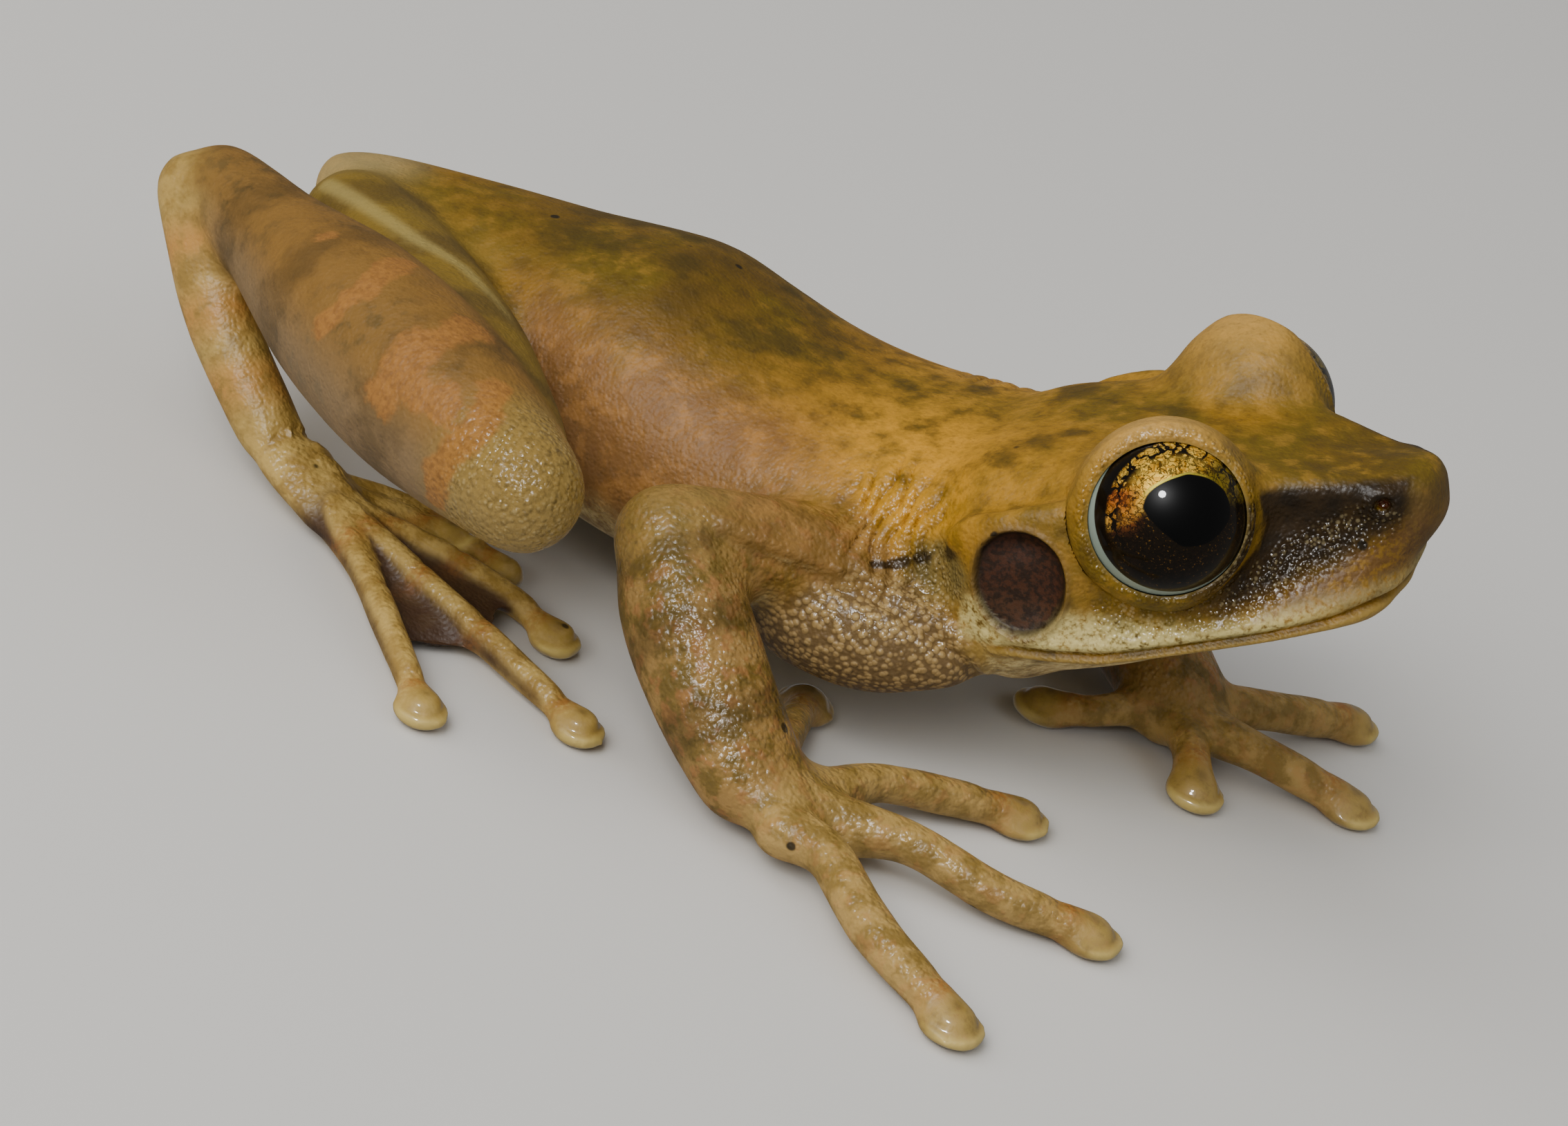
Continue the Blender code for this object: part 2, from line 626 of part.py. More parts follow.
def build_hand(name, joints, fingers, neighbours):
    """The palm, four fingers with discs and the small webs at their roots."""
    wrist = Vector(joints["wrist"])
    roots = [Vector(path[0]) for path in fingers]
    palm_middle = sum(roots, Vector()) / len(roots)
    pieces = [limb("palm", [(*wrist, 2.25, 1.6), (*wrist.lerp(palm_middle, 0.6), 2.4, 1.4),
                            (palm_middle.x, palm_middle.y, 1.1, 2.3, 1.1)])]
    for root in roots:
        pieces.append(limb("bone", [(*wrist.lerp(root, 0.25), 1.2, 1.1), (*root, 0.95, 0.95)]))
    for path, radius in zip(fingers, (0.72, 0.8, 0.86, 0.9)):
        pieces += digit(path, radius)
    web_level = 0.85
    for first, second in ((1, 2), (2, 3)):
        edges = []
        for path in (fingers[first], fingers[second]):
            root, knuckle = Vector(path[0]), Vector(path[1])
            end = root.lerp(knuckle, 0.8)
            edges.append([(root.x, root.y, web_level), (end.x, end.y, web_level)])
        pieces.append(web("finger_web", edges[0], edges[1], 0.5))
    hand = fused(name, pieces, DIGIT_VOXEL, HAND_TRIANGLES, smoothing=2)
    return cut_at_floor(clear_of(hand, neighbours))


def build_thigh(name, joints, neighbours, bend):
    """The thigh, which starts broad at the rump and bends in behind the shank."""
    start, end = Vector(joints["hip"]), Vector(joints["knee"])
    bend = Vector(bend)
    stations = [
        (*start, 2.4, 2.5),
        (*(start.lerp(end, 0.28) + bend * 0.8), 2.8, 2.7),
        (*(start.lerp(end, 0.56) + bend), 2.8, 2.8),
        (*(start.lerp(end, 0.78) + bend * 0.7), 2.5, 2.5),
        (*end, 2.2, 2.2),
    ]
    thigh = fused(name, [limb("thigh", stations)], LIMB_VOXEL, LEG_TRIANGLES)
    return cut_at_floor(clear_of(thigh, neighbours))


def build_shank(name, joints, neighbours, fullness):
    """The shank with its full calf."""
    start, end = Vector(joints["knee"]), Vector(joints["heel"])
    calf, lower_calf = 3.1 * fullness, 3.0 * fullness
    stations = [
        (*start, 2.3, 2.4),
        (*start.lerp(end, 0.28), calf, calf),
        (*start.lerp(end, 0.55), lower_calf, lower_calf),
        (*start.lerp(end, 0.8), 2.2, 2.3),
        (*end, 1.85, 1.85),
    ]
    shank = fused(name, [limb("shank", stations)], LIMB_VOXEL, LEG_TRIANGLES)
    return cut_at_floor(clear_of(shank, neighbours))


def build_tarsus(name, joints, neighbours, bow):
    """The slim tarsus, which folds back under the shank from the heel."""
    start, end = Vector(joints["heel"]) + Vector((-0.9, -0.5, -0.3)), Vector(joints["ankle"])
    middle = start.lerp(end, 0.45) + Vector(bow)
    stations = [(*start, 1.6, 1.6), (*middle, 1.4, 1.4), (*end, 1.4, 1.25)]
    tarsus = fused(name, [limb("tarsus", stations)], LIMB_VOXEL, TARSUS_TRIANGLES)
    return cut_at_floor(clear_of(tarsus, neighbours))


# paths of the toes from the sole to the disc, the fifth toe outermost
RIGHT_TOES = [
    [(-14.4, -10.3, 0.9), (-12.3, -9.0, 0.8), (-10.4, -8.6, 0.8), (-9.0, -8.9, 0.6)],
    [(-13.8, -10.9, 0.9), (-10.8, -9.6, 0.8), (-8.0, -9.0, 0.8), (-6.2, -9.2, 0.6)],
    [(-12.8, -11.6, 1.0), (-7.6, -10.9, 0.9), (-4.6, -11.2, 0.8), (-2.4, -11.7, 0.6)],
    [(-11.9, -12.2, 1.1), (-7.4, -13.7, 1.1), (-3.4, -14.9, 0.9), (1.4, -16.4, 0.6)],
    [(-12.2, -12.7, 1.0), (-9.5, -14.7, 1.0), (-6.3, -17.6, 0.9), (-3.1, -20.4, 0.6)],
]
LEFT_TOES = [
    [(-8.6, 15.6, 0.9), (-6.6, 15.1, 0.8), (-4.8, 14.9, 0.75), (-3.4, 15.1, 0.6)],
    [(-8.0, 16.0, 0.9), (-5.0, 15.8, 0.8), (-2.4, 15.9, 0.75), (-0.6, 16.2, 0.6)],
    [(-7.2, 16.7, 1.0), (-3.2, 17.4, 0.9), (0.2, 17.7, 0.8), (3.0, 17.6, 0.6)],
    [(-6.6, 17.4, 1.1), (-1.8, 18.9, 1.1), (2.8, 19.6, 0.9), (7.6, 19.6, 0.6)],
    [(-7.0, 17.9, 1.0), (-3.6, 19.8, 1.0), (-0.4, 21.2, 0.9), (3.2, 21.9, 0.6)],
]


def build_foot(name, joints, toes, neighbours):
    """The long sole, five toes with discs, and the webs that join them part of the way."""
    ankle = Vector(joints["ankle"])
    roots = [Vector(path[0]) for path in toes]
    front = sum(roots[2:], Vector()) / 3
    sole = [(*ankle, 1.35, 1.15), (*ankle.lerp(front, 0.5), 1.5, 1.0), (*front, 1.5, 0.85)]
    pieces = [limb("sole", sole)]
    for root in roots:
        pieces.append(limb("bone", [(*ankle.lerp(root, 0.3), 0.9, 0.9), (*root, 0.65, 0.65)]))
    for path, radius in zip(toes, (0.5, 0.52, 0.6, 0.66, 0.62)):
        small = radius < 0.55
        pieces += digit(path, radius, disc=SMALL_TOE_DISC_RADIUS if small else TOE_DISC_RADIUS)
    web_level = 0.7
    for a, b, reach, pull in ((toes[0], toes[1], 0.55, 0.5), (toes[1], toes[2], 0.6, 0.7),
                              (toes[2], toes[3], 0.72, 1.2), (toes[4], toes[3], 0.78, 1.5)):
        edges = []
        for path in (a, b):
            rows = smooth_curve(path, 6)
            kept = rows[:max(4, int(reach * len(rows)))]
            edges.append([(row[0], row[1], web_level) for row in kept[::3]])
        shorter = min(len(edges[0]), len(edges[1]))
        pieces.append(web("toe_web", edges[0][:shorter], edges[1][:shorter], pull, steps=3))
    foot = fused(name, pieces, DIGIT_VOXEL, FOOT_TRIANGLES, smoothing=2)
    return cut_at_floor(clear_of(foot, neighbours))


def move_to_origin(parts):
    """Puts the middle of the whole frog's box over the origin, with its lowest points at zero."""
    corners = np.array([vertex.co for part in parts for vertex in part.data.vertices])
    low, high = corners.min(axis=0), corners.max(axis=0)
    shift = Vector((-(low[0] + high[0]) / 2, -(low[1] + high[1]) / 2, -low[2]))
    for part in parts:
        part.data.transform(Matrix.Translation(shift))


def main():
    for obj in list(bpy.data.objects):
        bpy.data.objects.remove(obj)
    eye_right = build_eye("eye_right", -1)
    eye_left = build_eye("eye_left", 1)
    head = build_head()
    torso = build_torso()
    parts = [painted(eye_right, EYE_GOLD, 0.08), painted(eye_left, EYE_GOLD, 0.08),
             painted(head, SKIN_TAN), painted(torso, SKIN_TAN)]
    sides = (
        ("right", -1, RIGHT, RIGHT_FINGERS, RIGHT_TOES, (-0.2, 1.3, -0.2), 1.1, (-0.1, -0.4, -0.6)),
        ("left", 1, LEFT, LEFT_FINGERS, LEFT_TOES, (0.0, -0.6, 0.2), 0.9, (0.0, 0.9, -0.4)),
    )
    node_names = ("upper_arm", "forearm", "hand", "throat_sac", "thigh", "shank", "tarsus", "foot")
    for side, sign, joints, fingers, toes, thigh_bend, fullness, bow in sides:
        arm, forearm, hand, sac, thigh, shank, tarsus, foot = (name + "_" + side for name in node_names)
        parts += [
            painted(build_upper_arm(arm, joints, ["torso", "head"]), SKIN_BROWN),
            painted(build_forearm(forearm, joints, [arm, "torso"]), SKIN_BROWN),
            painted(build_hand(hand, joints, fingers, [forearm]), SKIN_YELLOW),
            painted(build_throat_sac(sac, sign, ["head", "torso", arm, forearm]), SKIN_PALE),
            painted(build_shank(shank, joints, ["torso"], fullness), SKIN_BROWN),
            painted(build_thigh(thigh, joints, [shank, "torso"], thigh_bend), SKIN_TAN),
            painted(build_tarsus(tarsus, joints, [shank, thigh, "torso"], bow), SKIN_YELLOW),
            painted(build_foot(foot, joints, toes, [tarsus, shank, thigh]), SKIN_YELLOW),
        ]
    remove(*SHELLS.values())
    move_to_origin(parts)


main()
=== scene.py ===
"""A life-size still model of a slender tree frog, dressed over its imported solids.

One skin covers all the flesh, with lids, lips, nostrils, ear discs and finger pads
sculpted in it, and the two eyes are pieces of their own. Landmarks are in millimetres
in the frog's own directions: the snout towards +X, its left towards +Y, the floor at 0.
"""
import math

import bpy
import numpy as np
from mathutils import Matrix, Vector, kdtree


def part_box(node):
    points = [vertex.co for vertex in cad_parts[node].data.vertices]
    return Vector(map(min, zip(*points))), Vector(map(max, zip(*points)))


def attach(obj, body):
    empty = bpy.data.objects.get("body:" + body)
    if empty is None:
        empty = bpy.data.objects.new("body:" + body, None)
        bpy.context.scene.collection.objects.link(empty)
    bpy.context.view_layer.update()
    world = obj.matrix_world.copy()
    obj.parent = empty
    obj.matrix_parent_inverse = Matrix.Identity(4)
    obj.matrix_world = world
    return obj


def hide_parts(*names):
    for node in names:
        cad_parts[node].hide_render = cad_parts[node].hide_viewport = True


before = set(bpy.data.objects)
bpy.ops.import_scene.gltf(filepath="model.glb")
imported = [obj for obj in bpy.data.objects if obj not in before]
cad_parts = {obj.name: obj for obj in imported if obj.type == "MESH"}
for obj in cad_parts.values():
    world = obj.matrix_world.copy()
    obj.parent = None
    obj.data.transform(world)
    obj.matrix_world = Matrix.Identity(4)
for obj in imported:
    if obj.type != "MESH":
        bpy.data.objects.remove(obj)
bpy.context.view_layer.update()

MM = 0.001

# The head: snout tip, how it is turned in degrees, and the landmarks of its sides
SNOUT = Vector((25.2, -0.9, 17.0))
HEAD_YAW, HEAD_PITCH, HEAD_ROLL = 3.2, 20.4, 3.0
EYE_CENTRE = (-8.9, 5.6, 1.15)
EYE_AIM = (0.34, 0.92, 0.22)
EYE_RADIUS = 3.0
LID_PLANE = 1.12
EAR_CENTRE = (-13.9, 7.6, -1.4)
EAR_RADII = (1.75, 2.1)
NOSTRIL = (-1.85, 2.0, 0.95)
SNOUT_MIDDLE = (-2.0, 0.0, 0.0)
TEMPLE = (-14.6, 6.0, 1.4)

# Joints of the limbs
RIGHT = {
    "shoulder": (7.6, -6.2, 6.4), "elbow": (0.9, -12.5, 7.2), "wrist": (8.3, -15.9, 1.9),
    "hip": (-19.4, -3.2, 7.9), "knee": (-2.4, -18.7, 9.6), "heel": (-23.2, -7.7, 9.1),
    "ankle": (-16.6, -11.0, 2.1),
}
LEFT = {
    "shoulder": (7.6, 5.6, 6.4), "elbow": (9.0, 12.0, 5.2), "wrist": (17.2, 5.4, 1.7),
    "hip": (-17.6, 3.2, 6.0), "knee": (0.4, 13.7, 2.9), "heel": (-22.6, 8.9, 2.4),
    "ankle": (-11.4, 15.6, 1.4),
}
# How far from each joint the skin is rubbed down more, and how stout each kind of flesh is
JOINT_REACH = {
    "shoulder": 4.2, "elbow": 3.2, "wrist": 2.2, "hip": 4.6, "knee": 4.2, "heel": 3.2, "ankle": 1.8,
}
STOUTNESS = {
    "torso": 1.0, "head": 0.3, "thigh": 0.8, "shank": 0.8, "upper_arm": 0.5, "forearm": 0.5,
    "throat_sac": 0.6, "tarsus": 0.3, "foot": 0.04, "hand": 0.06,
}
# Fingers and toes, each from its root to the middle of its pad, in plan
FINGERS = [
    [(8.3, -13.8), (7.6, -11.6), (7.0, -9.4), (6.5, -7.2)],
    [(10.3, -13.6), (11.4, -11.2), (13.6, -9.1), (15.9, -7.1)],
    [(11.6, -15.0), (14.4, -14.1), (17.8, -13.6), (21.2, -12.1)],
    [(10.5, -17.4), (12.5, -17.7), (15.6, -19.8), (19.8, -21.5)],
    [(16.4, 3.9), (15.5, 2.7), (14.6, 1.9), (13.2, 1.6)],
    [(18.0, 4.0), (19.0, 2.9), (19.6, 2.0), (20.2, 1.2)],
    [(19.0, 4.6), (21.2, 4.8), (23.2, 5.3), (25.3, 5.9)],
    [(18.3, 6.6), (20.0, 8.2), (21.6, 10.2), (23.0, 12.4)],
]
TOES = [
    [(-14.4, -10.3), (-12.3, -9.0), (-10.4, -8.6), (-9.0, -8.9)],
    [(-13.8, -10.9), (-10.8, -9.6), (-8.0, -9.0), (-6.2, -9.2)],
    [(-12.8, -11.6), (-7.6, -10.9), (-4.6, -11.2), (-2.4, -11.7)],
    [(-11.9, -12.2), (-7.4, -13.7), (-3.4, -14.9), (1.4, -16.4)],
    [(-12.2, -12.7), (-9.5, -14.7), (-6.3, -17.6), (-3.1, -20.4)],
    [(-8.6, 15.6), (-6.6, 15.1), (-4.8, 14.9), (-3.4, 15.1)],
    [(-8.0, 16.0), (-5.0, 15.8), (-2.4, 15.9), (-0.6, 16.2)],
    [(-7.2, 16.7), (-3.2, 17.4), (0.2, 17.7), (3.0, 17.6)],
    [(-6.6, 17.4), (-1.8, 18.9), (2.8, 19.6), (7.6, 19.6)],
    [(-7.0, 17.9), (-3.6, 19.8), (-0.4, 21.2), (3.2, 21.9)],
]
FINGER_PAD, TOE_PAD = 1.26, 1.08
# The middle of the folds behind the ear, as a place on the head, and the folds under the jaw and over the
# arm pit of the right side
SHOULDER_FOLDS = (-19.6, 5.6, -0.5)
JAW_FOLD = [
    (7.0, -9.2, 7.5), (8.4, -9.3, 7.4), (9.5, -9.3, 7.2), (10.5, -9.2, 7.0), (11.6, -9.0, 6.6),
    (12.3, -8.6, 6.1), (12.6, -8.0, 5.6),
]
ARM_FOLD = [
    (2.8, -12.3, 8.8), (3.9, -11.7, 8.5), (5.1, -10.9, 8.2), (6.0, -10.1, 8.0), (7.0, -9.4, 7.6),
    (8.2, -9.1, 7.7),
]
# The line between the lips: place back from the snout tip, how far out and how high
LIP_LINE = [
    (-14.0, 7.7, -4.10), (-11.0, 7.3, -4.15), (-8.0, 6.5, -3.70), (-5.0, 5.3, -3.30),
    (-3.0, 4.2, -2.95), (-1.2, 2.6, -2.45),
]
# The mouth runs straight from its corner to here, then bends round a point to the middle of the front
MOUTH_CORNER, BEND_START = -14.6, -2.15
BEND_POINT, MOUTH_FRONT = (-1.25, 2.4, -2.6), (-1.1, 0.0, -2.6)

# The camera: where it looks, from which side and how high, how far it is rolled, and how far off it is
VIEW_TARGET = (3.7, -6.8, 5.4)
VIEW_AZIMUTH, VIEW_ELEVATION, VIEW_ROLL = 18.5, 27.6, 19.0
VIEW_DISTANCE = 150.0
PHOTO_WIDTH = 2268
PHOTO_PIXELS_PER_MM = 37.88
SENSOR_WIDTH = 36.0

# The soft lights: name, direction in the camera's right, up and back, distance and size in metres, watts
# and colour
SOFT_LIGHTS = [
    ("key", (-0.45, 0.95, 0.55), 0.60, 0.80, 2.9, (1.0, 0.98, 0.95)),
    ("fill", (0.95, 0.30, 0.55), 0.60, 0.60, 0.7, (0.96, 0.98, 1.0)),
    ("front", (-0.25, 0.40, 1.0), 0.50, 0.35, 1.8, (1.0, 0.98, 0.94)),
]
# The small light that shows only as glints on the eyes and the wet grains
GLINT_LIGHT = ("glints", (-0.13, 0.46, 1.0), 0.30, 0.05, 1.0, (1.0, 1.0, 1.0))
ROOM_COLOUR, ROOM_STRENGTH = (0.86, 0.86, 0.86, 1.0), 0.22
FLOOR_SIZE, FLOOR_DROP = 4.0, 0.00001
FLOOR_COLOUR, FLOOR_ROUGHNESS = (0.66, 0.65, 0.63, 1.0), 0.75

# Grains of the skin in each millimetre, and the height of their bump in metres
BEADS_PER_MM, GRAINS_PER_MM = 3.7, 5.4
BUMP_HEIGHT = 0.00006

# Skin making, in millimetres: how far the solids are swelled, the share of it that is taken off again,
# the size of the voxels, how far the ball over each eye covers it, and the gap round an eyeball in its socket
PUFF, PUFF_TAKEN_OFF = 0.2, 0.8
SKIN_VOXEL = 0.2
EYE_COVER, SOCKET_GAP = 0.42, 0.05
SKIN_TRIANGLES = 174000
# The angle in degrees past which an edge stays sharp
SMOOTH_ANGLE = 50
# A distance in millimetres that no mark or fold reaches
FAR = 99.0


def head_axes():
    """The head's forward, left and up directions."""
    yaw, pitch, roll = (math.radians(a) for a in (HEAD_YAW, HEAD_PITCH, HEAD_ROLL))
    forward = Vector((math.cos(yaw) * math.cos(pitch), math.sin(yaw) * math.cos(pitch), math.sin(pitch)))
    level_left = Vector((-math.sin(yaw), math.cos(yaw), 0.0))
    level_up = forward.cross(level_left)
    left = math.cos(roll) * level_left + math.sin(roll) * level_up
    return forward, left, forward.cross(left)


FORWARD, LEFTWARD, UPWARD = head_axes()


def on_head(forward, left, up):
    return SNOUT + forward * FORWARD + left * LEFTWARD + up * UPWARD


def head_direction(forward, left, up):
    return (forward * FORWARD + left * LEFTWARD + up * UPWARD).normalized()


def eye_middle(sign):
    """The middle of an eyeball; sign is 1 for the left one and -1 for the right one."""
    return on_head(EYE_CENTRE[0], sign * EYE_CENTRE[1], EYE_CENTRE[2])


def eye_aim(sign):
    """The way out through the middle of the lids."""
    return head_direction(EYE_AIM[0], sign * EYE_AIM[1], EYE_AIM[2])


def frame_shift():
    """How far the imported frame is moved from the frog's own, read from the right eye's place."""
    low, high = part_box("eye_right")
    return (Vector(low) + Vector(high)) / 2 - eye_middle(-1) * MM


SHIFT = frame_shift()


def at(point):
    """A landmark in millimetres as a place in the frame, in metres."""
    return Vector(point) * MM + SHIFT


# ---- general making ----


def select_only(obj):
    bpy.ops.object.select_all(action="DESELECT")
    obj.select_set(True)
    bpy.context.view_layer.objects.active = obj


def pick_vertices(obj, chosen):
    """Goes into edit mode with just these vertices selected."""
    select_only(obj)
    obj.data.vertices.foreach_set("select", chosen)
    obj.data.edges.foreach_set("select", np.zeros(len(obj.data.edges), dtype=bool))
    obj.data.polygons.foreach_set("select", np.zeros(len(obj.data.polygons), dtype=bool))
    bpy.ops.object.mode_set(mode="EDIT")
    bpy.ops.mesh.select_mode(type="VERT")


def finish_with(obj, kind, **settings):
    """Adds a modifier, sets it and applies it."""
    select_only(obj)
    modifier = obj.modifiers.new(kind.lower(), kind)
    for name, value in settings.items():
        setattr(modifier, name, value)
    bpy.ops.object.modifier_apply(modifier=modifier.name)


def settle(obj):
    """Puts the object's place and turn into its mesh."""
    select_only(obj)
    bpy.ops.object.transform_apply(location=True, rotation=True, scale=True)


def read_points(mesh):
    """The vertices as rows of millimetres in the frog's own directions."""
    flat = np.empty(len(mesh.vertices) * 3, dtype=np.float64)
    mesh.vertices.foreach_get("co", flat)
    return (flat.reshape(-1, 3) - np.array(SHIFT)) / MM


def write_points(mesh, points):
    mesh.vertices.foreach_set("co", (points * MM + np.array(SHIFT)).ravel())
    mesh.update()


def read_normals(mesh):
    flat = np.empty(len(mesh.vertices) * 3, dtype=np.float64)
    mesh.vertices.foreach_get("normal", flat)
    return flat.reshape(-1, 3)


def read_edges(mesh):
    flat = np.empty(len(mesh.edges) * 2, dtype=np.int64)
    mesh.edges.foreach_get("vertices", flat)
    return flat.reshape(-1, 2)


def neighbour_mean(values, edges):
    """For each vertex the mean of the values at the vertices it shares an edge with."""
    count = np.bincount(edges.ravel(), minlength=len(values)).astype(float)
    out = np.empty_like(values)
    for k in range(values.shape[1]):
        total = np.bincount(edges[:, 0], values[edges[:, 1], k], len(values))
        total += np.bincount(edges[:, 1], values[edges[:, 0], k], len(values))
        out[:, k] = total / np.maximum(count, 1.0)
    return out


def soften(points, edges, rounds, strength=0.5, weight=1.0, keep_size=True):
    """Rubs down what is smaller than a few vertices, and swells back what that shrinks."""
    weight = np.broadcast_to(np.asarray(weight, float), (len(points),))[:, None]
    pushes = (strength, -1.06 * strength) if keep_size else (strength,)
    for _ in range(rounds):
        for push in pushes:
            points = points + push * weight * (neighbour_mean(points, edges) - points)
    return points


def ease(values, low, high):
    """0 below low, 1 above high, and a smooth rise between them."""
    t = np.clip((values - low) / (high - low), 0.0, 1.0)
    return t * t * (3.0 - 2.0 * t)


def hill(values, width):
    return np.exp(-(values / width) ** 2)


def dots(points, direction):
    return points @ np.array(direction)


def head_places(points):
    """Each point as forward, left and up from the snout tip."""
    relative = points - np.array(SNOUT)
    return np.stack([dots(relative, FORWARD), dots(relative, LEFTWARD), dots(relative, UPWARD)], axis=1)


def with_left(place):
    """Places on the head with the right side folded onto the left."""
    return np.stack([place[:, 0], np.abs(place[:, 1]), place[:, 2]], axis=1)


def mirrored(points):
    """The points' mirror images across the middle of the head."""
    place = head_places(points) * (1.0, -1.0, 1.0)
    return np.array(SNOUT) + place @ np.array([FORWARD, LEFTWARD, UPWARD])


def apart_from(points, place, stretch=(1.0, 1.0, 1.0)):
    """Distance of each point from a place, with each direction counted in its own measure."""
    return np.linalg.norm((points - np.array(place)) * stretch, axis=1)


def along_limb(points, start, end):
    """How far each point lies along a limb, 0 at its start and 1 at its end."""
    start, end = np.array(start), np.array(end)
    return dots(points - start, (end - start) / ((end - start) @ (end - start)))


def nearest_on(points, start, end):
    """The place nearest to each point on the straight piece between two places."""
    start, end = np.array(start), np.array(end)
    share = np.clip(along_limb(points, start, end), 0.0, 1.0)[:, None]
    return start + share * (end - start)


def near_path(points, path):
    """Distance from a path of straight pieces, and which way and how far from it each point lies."""
    best = np.full(len(points), FAR)
    offset = np.zeros_like(points)
    for start, end in zip(path, path[1:]):
        away = points - nearest_on(points, start, end)
        distance = np.linalg.norm(away, axis=1)
        closer = distance < best
        best = np.where(closer, distance, best)
        offset[closer] = away[closer]
    return best, offset


def near_pair(points, twins, path):
    """Distance from a path or from its twin on the other side, and the height above the nearer one."""
    distance, offset = near_path(points, path)
    other, other_offset = near_path(twins, path)
    return np.minimum(distance, other), np.where(other < distance, other_offset[:, 2], offset[:, 2])


def as_on_the_right(points, start, end):
    """Points of a left limb moved to the matching places of the right one, so that one list serves both."""
    moved = []
    for joints, side in ((LEFT, 1.0), (RIGHT, -1.0)):
        root, tip = np.array(joints[start]), np.array(joints[end])
        run = (tip - root) / np.linalg.norm(tip - root)
        across = np.cross(run, (0.0, 0.0, 1.0)) * side
        across /= np.linalg.norm(across)
        moved.append((root, tip, run, across, np.cross(run, across) * side))
    (root, tip, run, across, over), (root_r, tip_r, run_r, across_r, over_r) = moved
    relative = points - root
    length = np.linalg.norm(tip_r - root_r) / np.linalg.norm(tip - root)
    return (root_r + np.outer(relative @ run * length, run_r) + np.outer(relative @ across, across_r)
            + np.outer(relative @ over, over_r))


def ear_reach(place):
    """How far from the middle of the ear disc each point lies, seen from the side, in radii."""
    ahead = (place[:, 0] - EAR_CENTRE[0]) / EAR_RADII[0]
    above = (place[:, 2] - EAR_CENTRE[2]) / EAR_RADII[1]
    return np.hypot(ahead, above)


# ---- the skin ----


FLESH = sorted(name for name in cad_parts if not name.startswith("eye_"))


def gather_flesh():
    """One mesh of all the flesh solids, merged, with a ball over each eye that closes its socket."""
    parts = []
    for name in FLESH:
        part = bpy.data.objects.new("flesh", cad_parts[name].data.copy())
        bpy.context.collection.objects.link(part)
        parts.append(part)
    for sign in (-1, 1):
        bpy.ops.mesh.primitive_ico_sphere_add(subdivisions=5, radius=(EYE_RADIUS + EYE_COVER) * MM,
                                              location=at(eye_middle(sign)))
        settle(bpy.context.active_object)
        parts.append(bpy.context.active_object)
    bpy.ops.object.select_all(action="DESELECT")
    for part in parts:
        part.select_set(True)
    skin = parts[0]
    bpy.context.view_layer.objects.active = skin
    bpy.ops.object.join()
    skin.name = skin.data.name = "skin"
    bpy.ops.object.mode_set(mode="EDIT")
    bpy.ops.mesh.select_all(action="SELECT")
    bpy.ops.mesh.remove_doubles(threshold=0.0000005)
    bpy.ops.object.mode_set(mode="OBJECT")
    return skin


def keep_largest(obj):
    """Drops every surface but the largest one."""
    edges = read_edges(obj.data)
    label = np.arange(len(obj.data.vertices))
    settled = False
    while not settled:
        low = np.minimum(label[edges[:, 0]], label[edges[:, 1]])
        fresh = label.copy()
        np.minimum.at(fresh, edges[:, 0], low)
        np.minimum.at(fresh, edges[:, 1], low)
        fresh = fresh[fresh]
        settled = bool((fresh == label).all())
        label = fresh
    names, counts = np.unique(label, return_counts=True)
    if len(names) > 1:
        pick_vertices(obj, label != names[counts.argmax()])
        bpy.ops.mesh.delete(type="VERT")
        bpy.ops.object.mode_set(mode="OBJECT")


def close_seams(skin):
    """Swells the solids until their gaps close, melts them together and takes the swelling off."""
    finish_with(skin, "DISPLACE", strength=PUFF * MM, mid_level=0.0)
    finish_with(skin, "REMESH", mode="VOXEL", voxel_size=SKIN_VOXEL * MM)
    keep_largest(skin)
    mesh = skin.data
    points, edges = read_points(mesh), read_edges(mesh)
    points = soften(points, edges, 6, keep_size=False)
    write_points(mesh, points)
    points = points - PUFF * PUFF_TAKEN_OFF * read_normals(mesh)
    write_points(mesh, points)
    return points, edges


def nearest_nodes(points):
    """The flesh node that each point belongs to, as its number in FLESH."""
    total = sum(len(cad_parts[name].data.vertices) for name in FLESH)
    tree = kdtree.KDTree(total)
    owner = []
    for number, name in enumerate(FLESH):
        for place in read_points(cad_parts[name].data):
            tree.insert(place, len(owner))
            owner.append(number)
    tree.balance()
    return np.array([owner[tree.find(point)[1]] for point in points])


def broadness(points, owner):
    """How stout the flesh is at each point: 1 on the trunk and 0 on the fingers."""
    worth = np.array([STOUTNESS[name.replace("_left", "").replace("_right", "")] for name in FLESH])
    return worth[owner]


def seam_weights(points):
    """1 near the joints, where two solids met, so that the skin there is rubbed down more."""
    weight = np.zeros(len(points))
    for joints in (RIGHT, LEFT):
        for name, reach in JOINT_REACH.items():
            distance = apart_from(points, joints[name])
            weight = np.maximum(weight, 1.0 - ease(distance, reach * 0.5, reach))
    place = head_places(points)
    neck = hill(place[:, 0] + 17.6, 2.2) * ease(np.abs(place[:, 1]), 12.0, 9.0)
    return np.maximum(weight, neck)


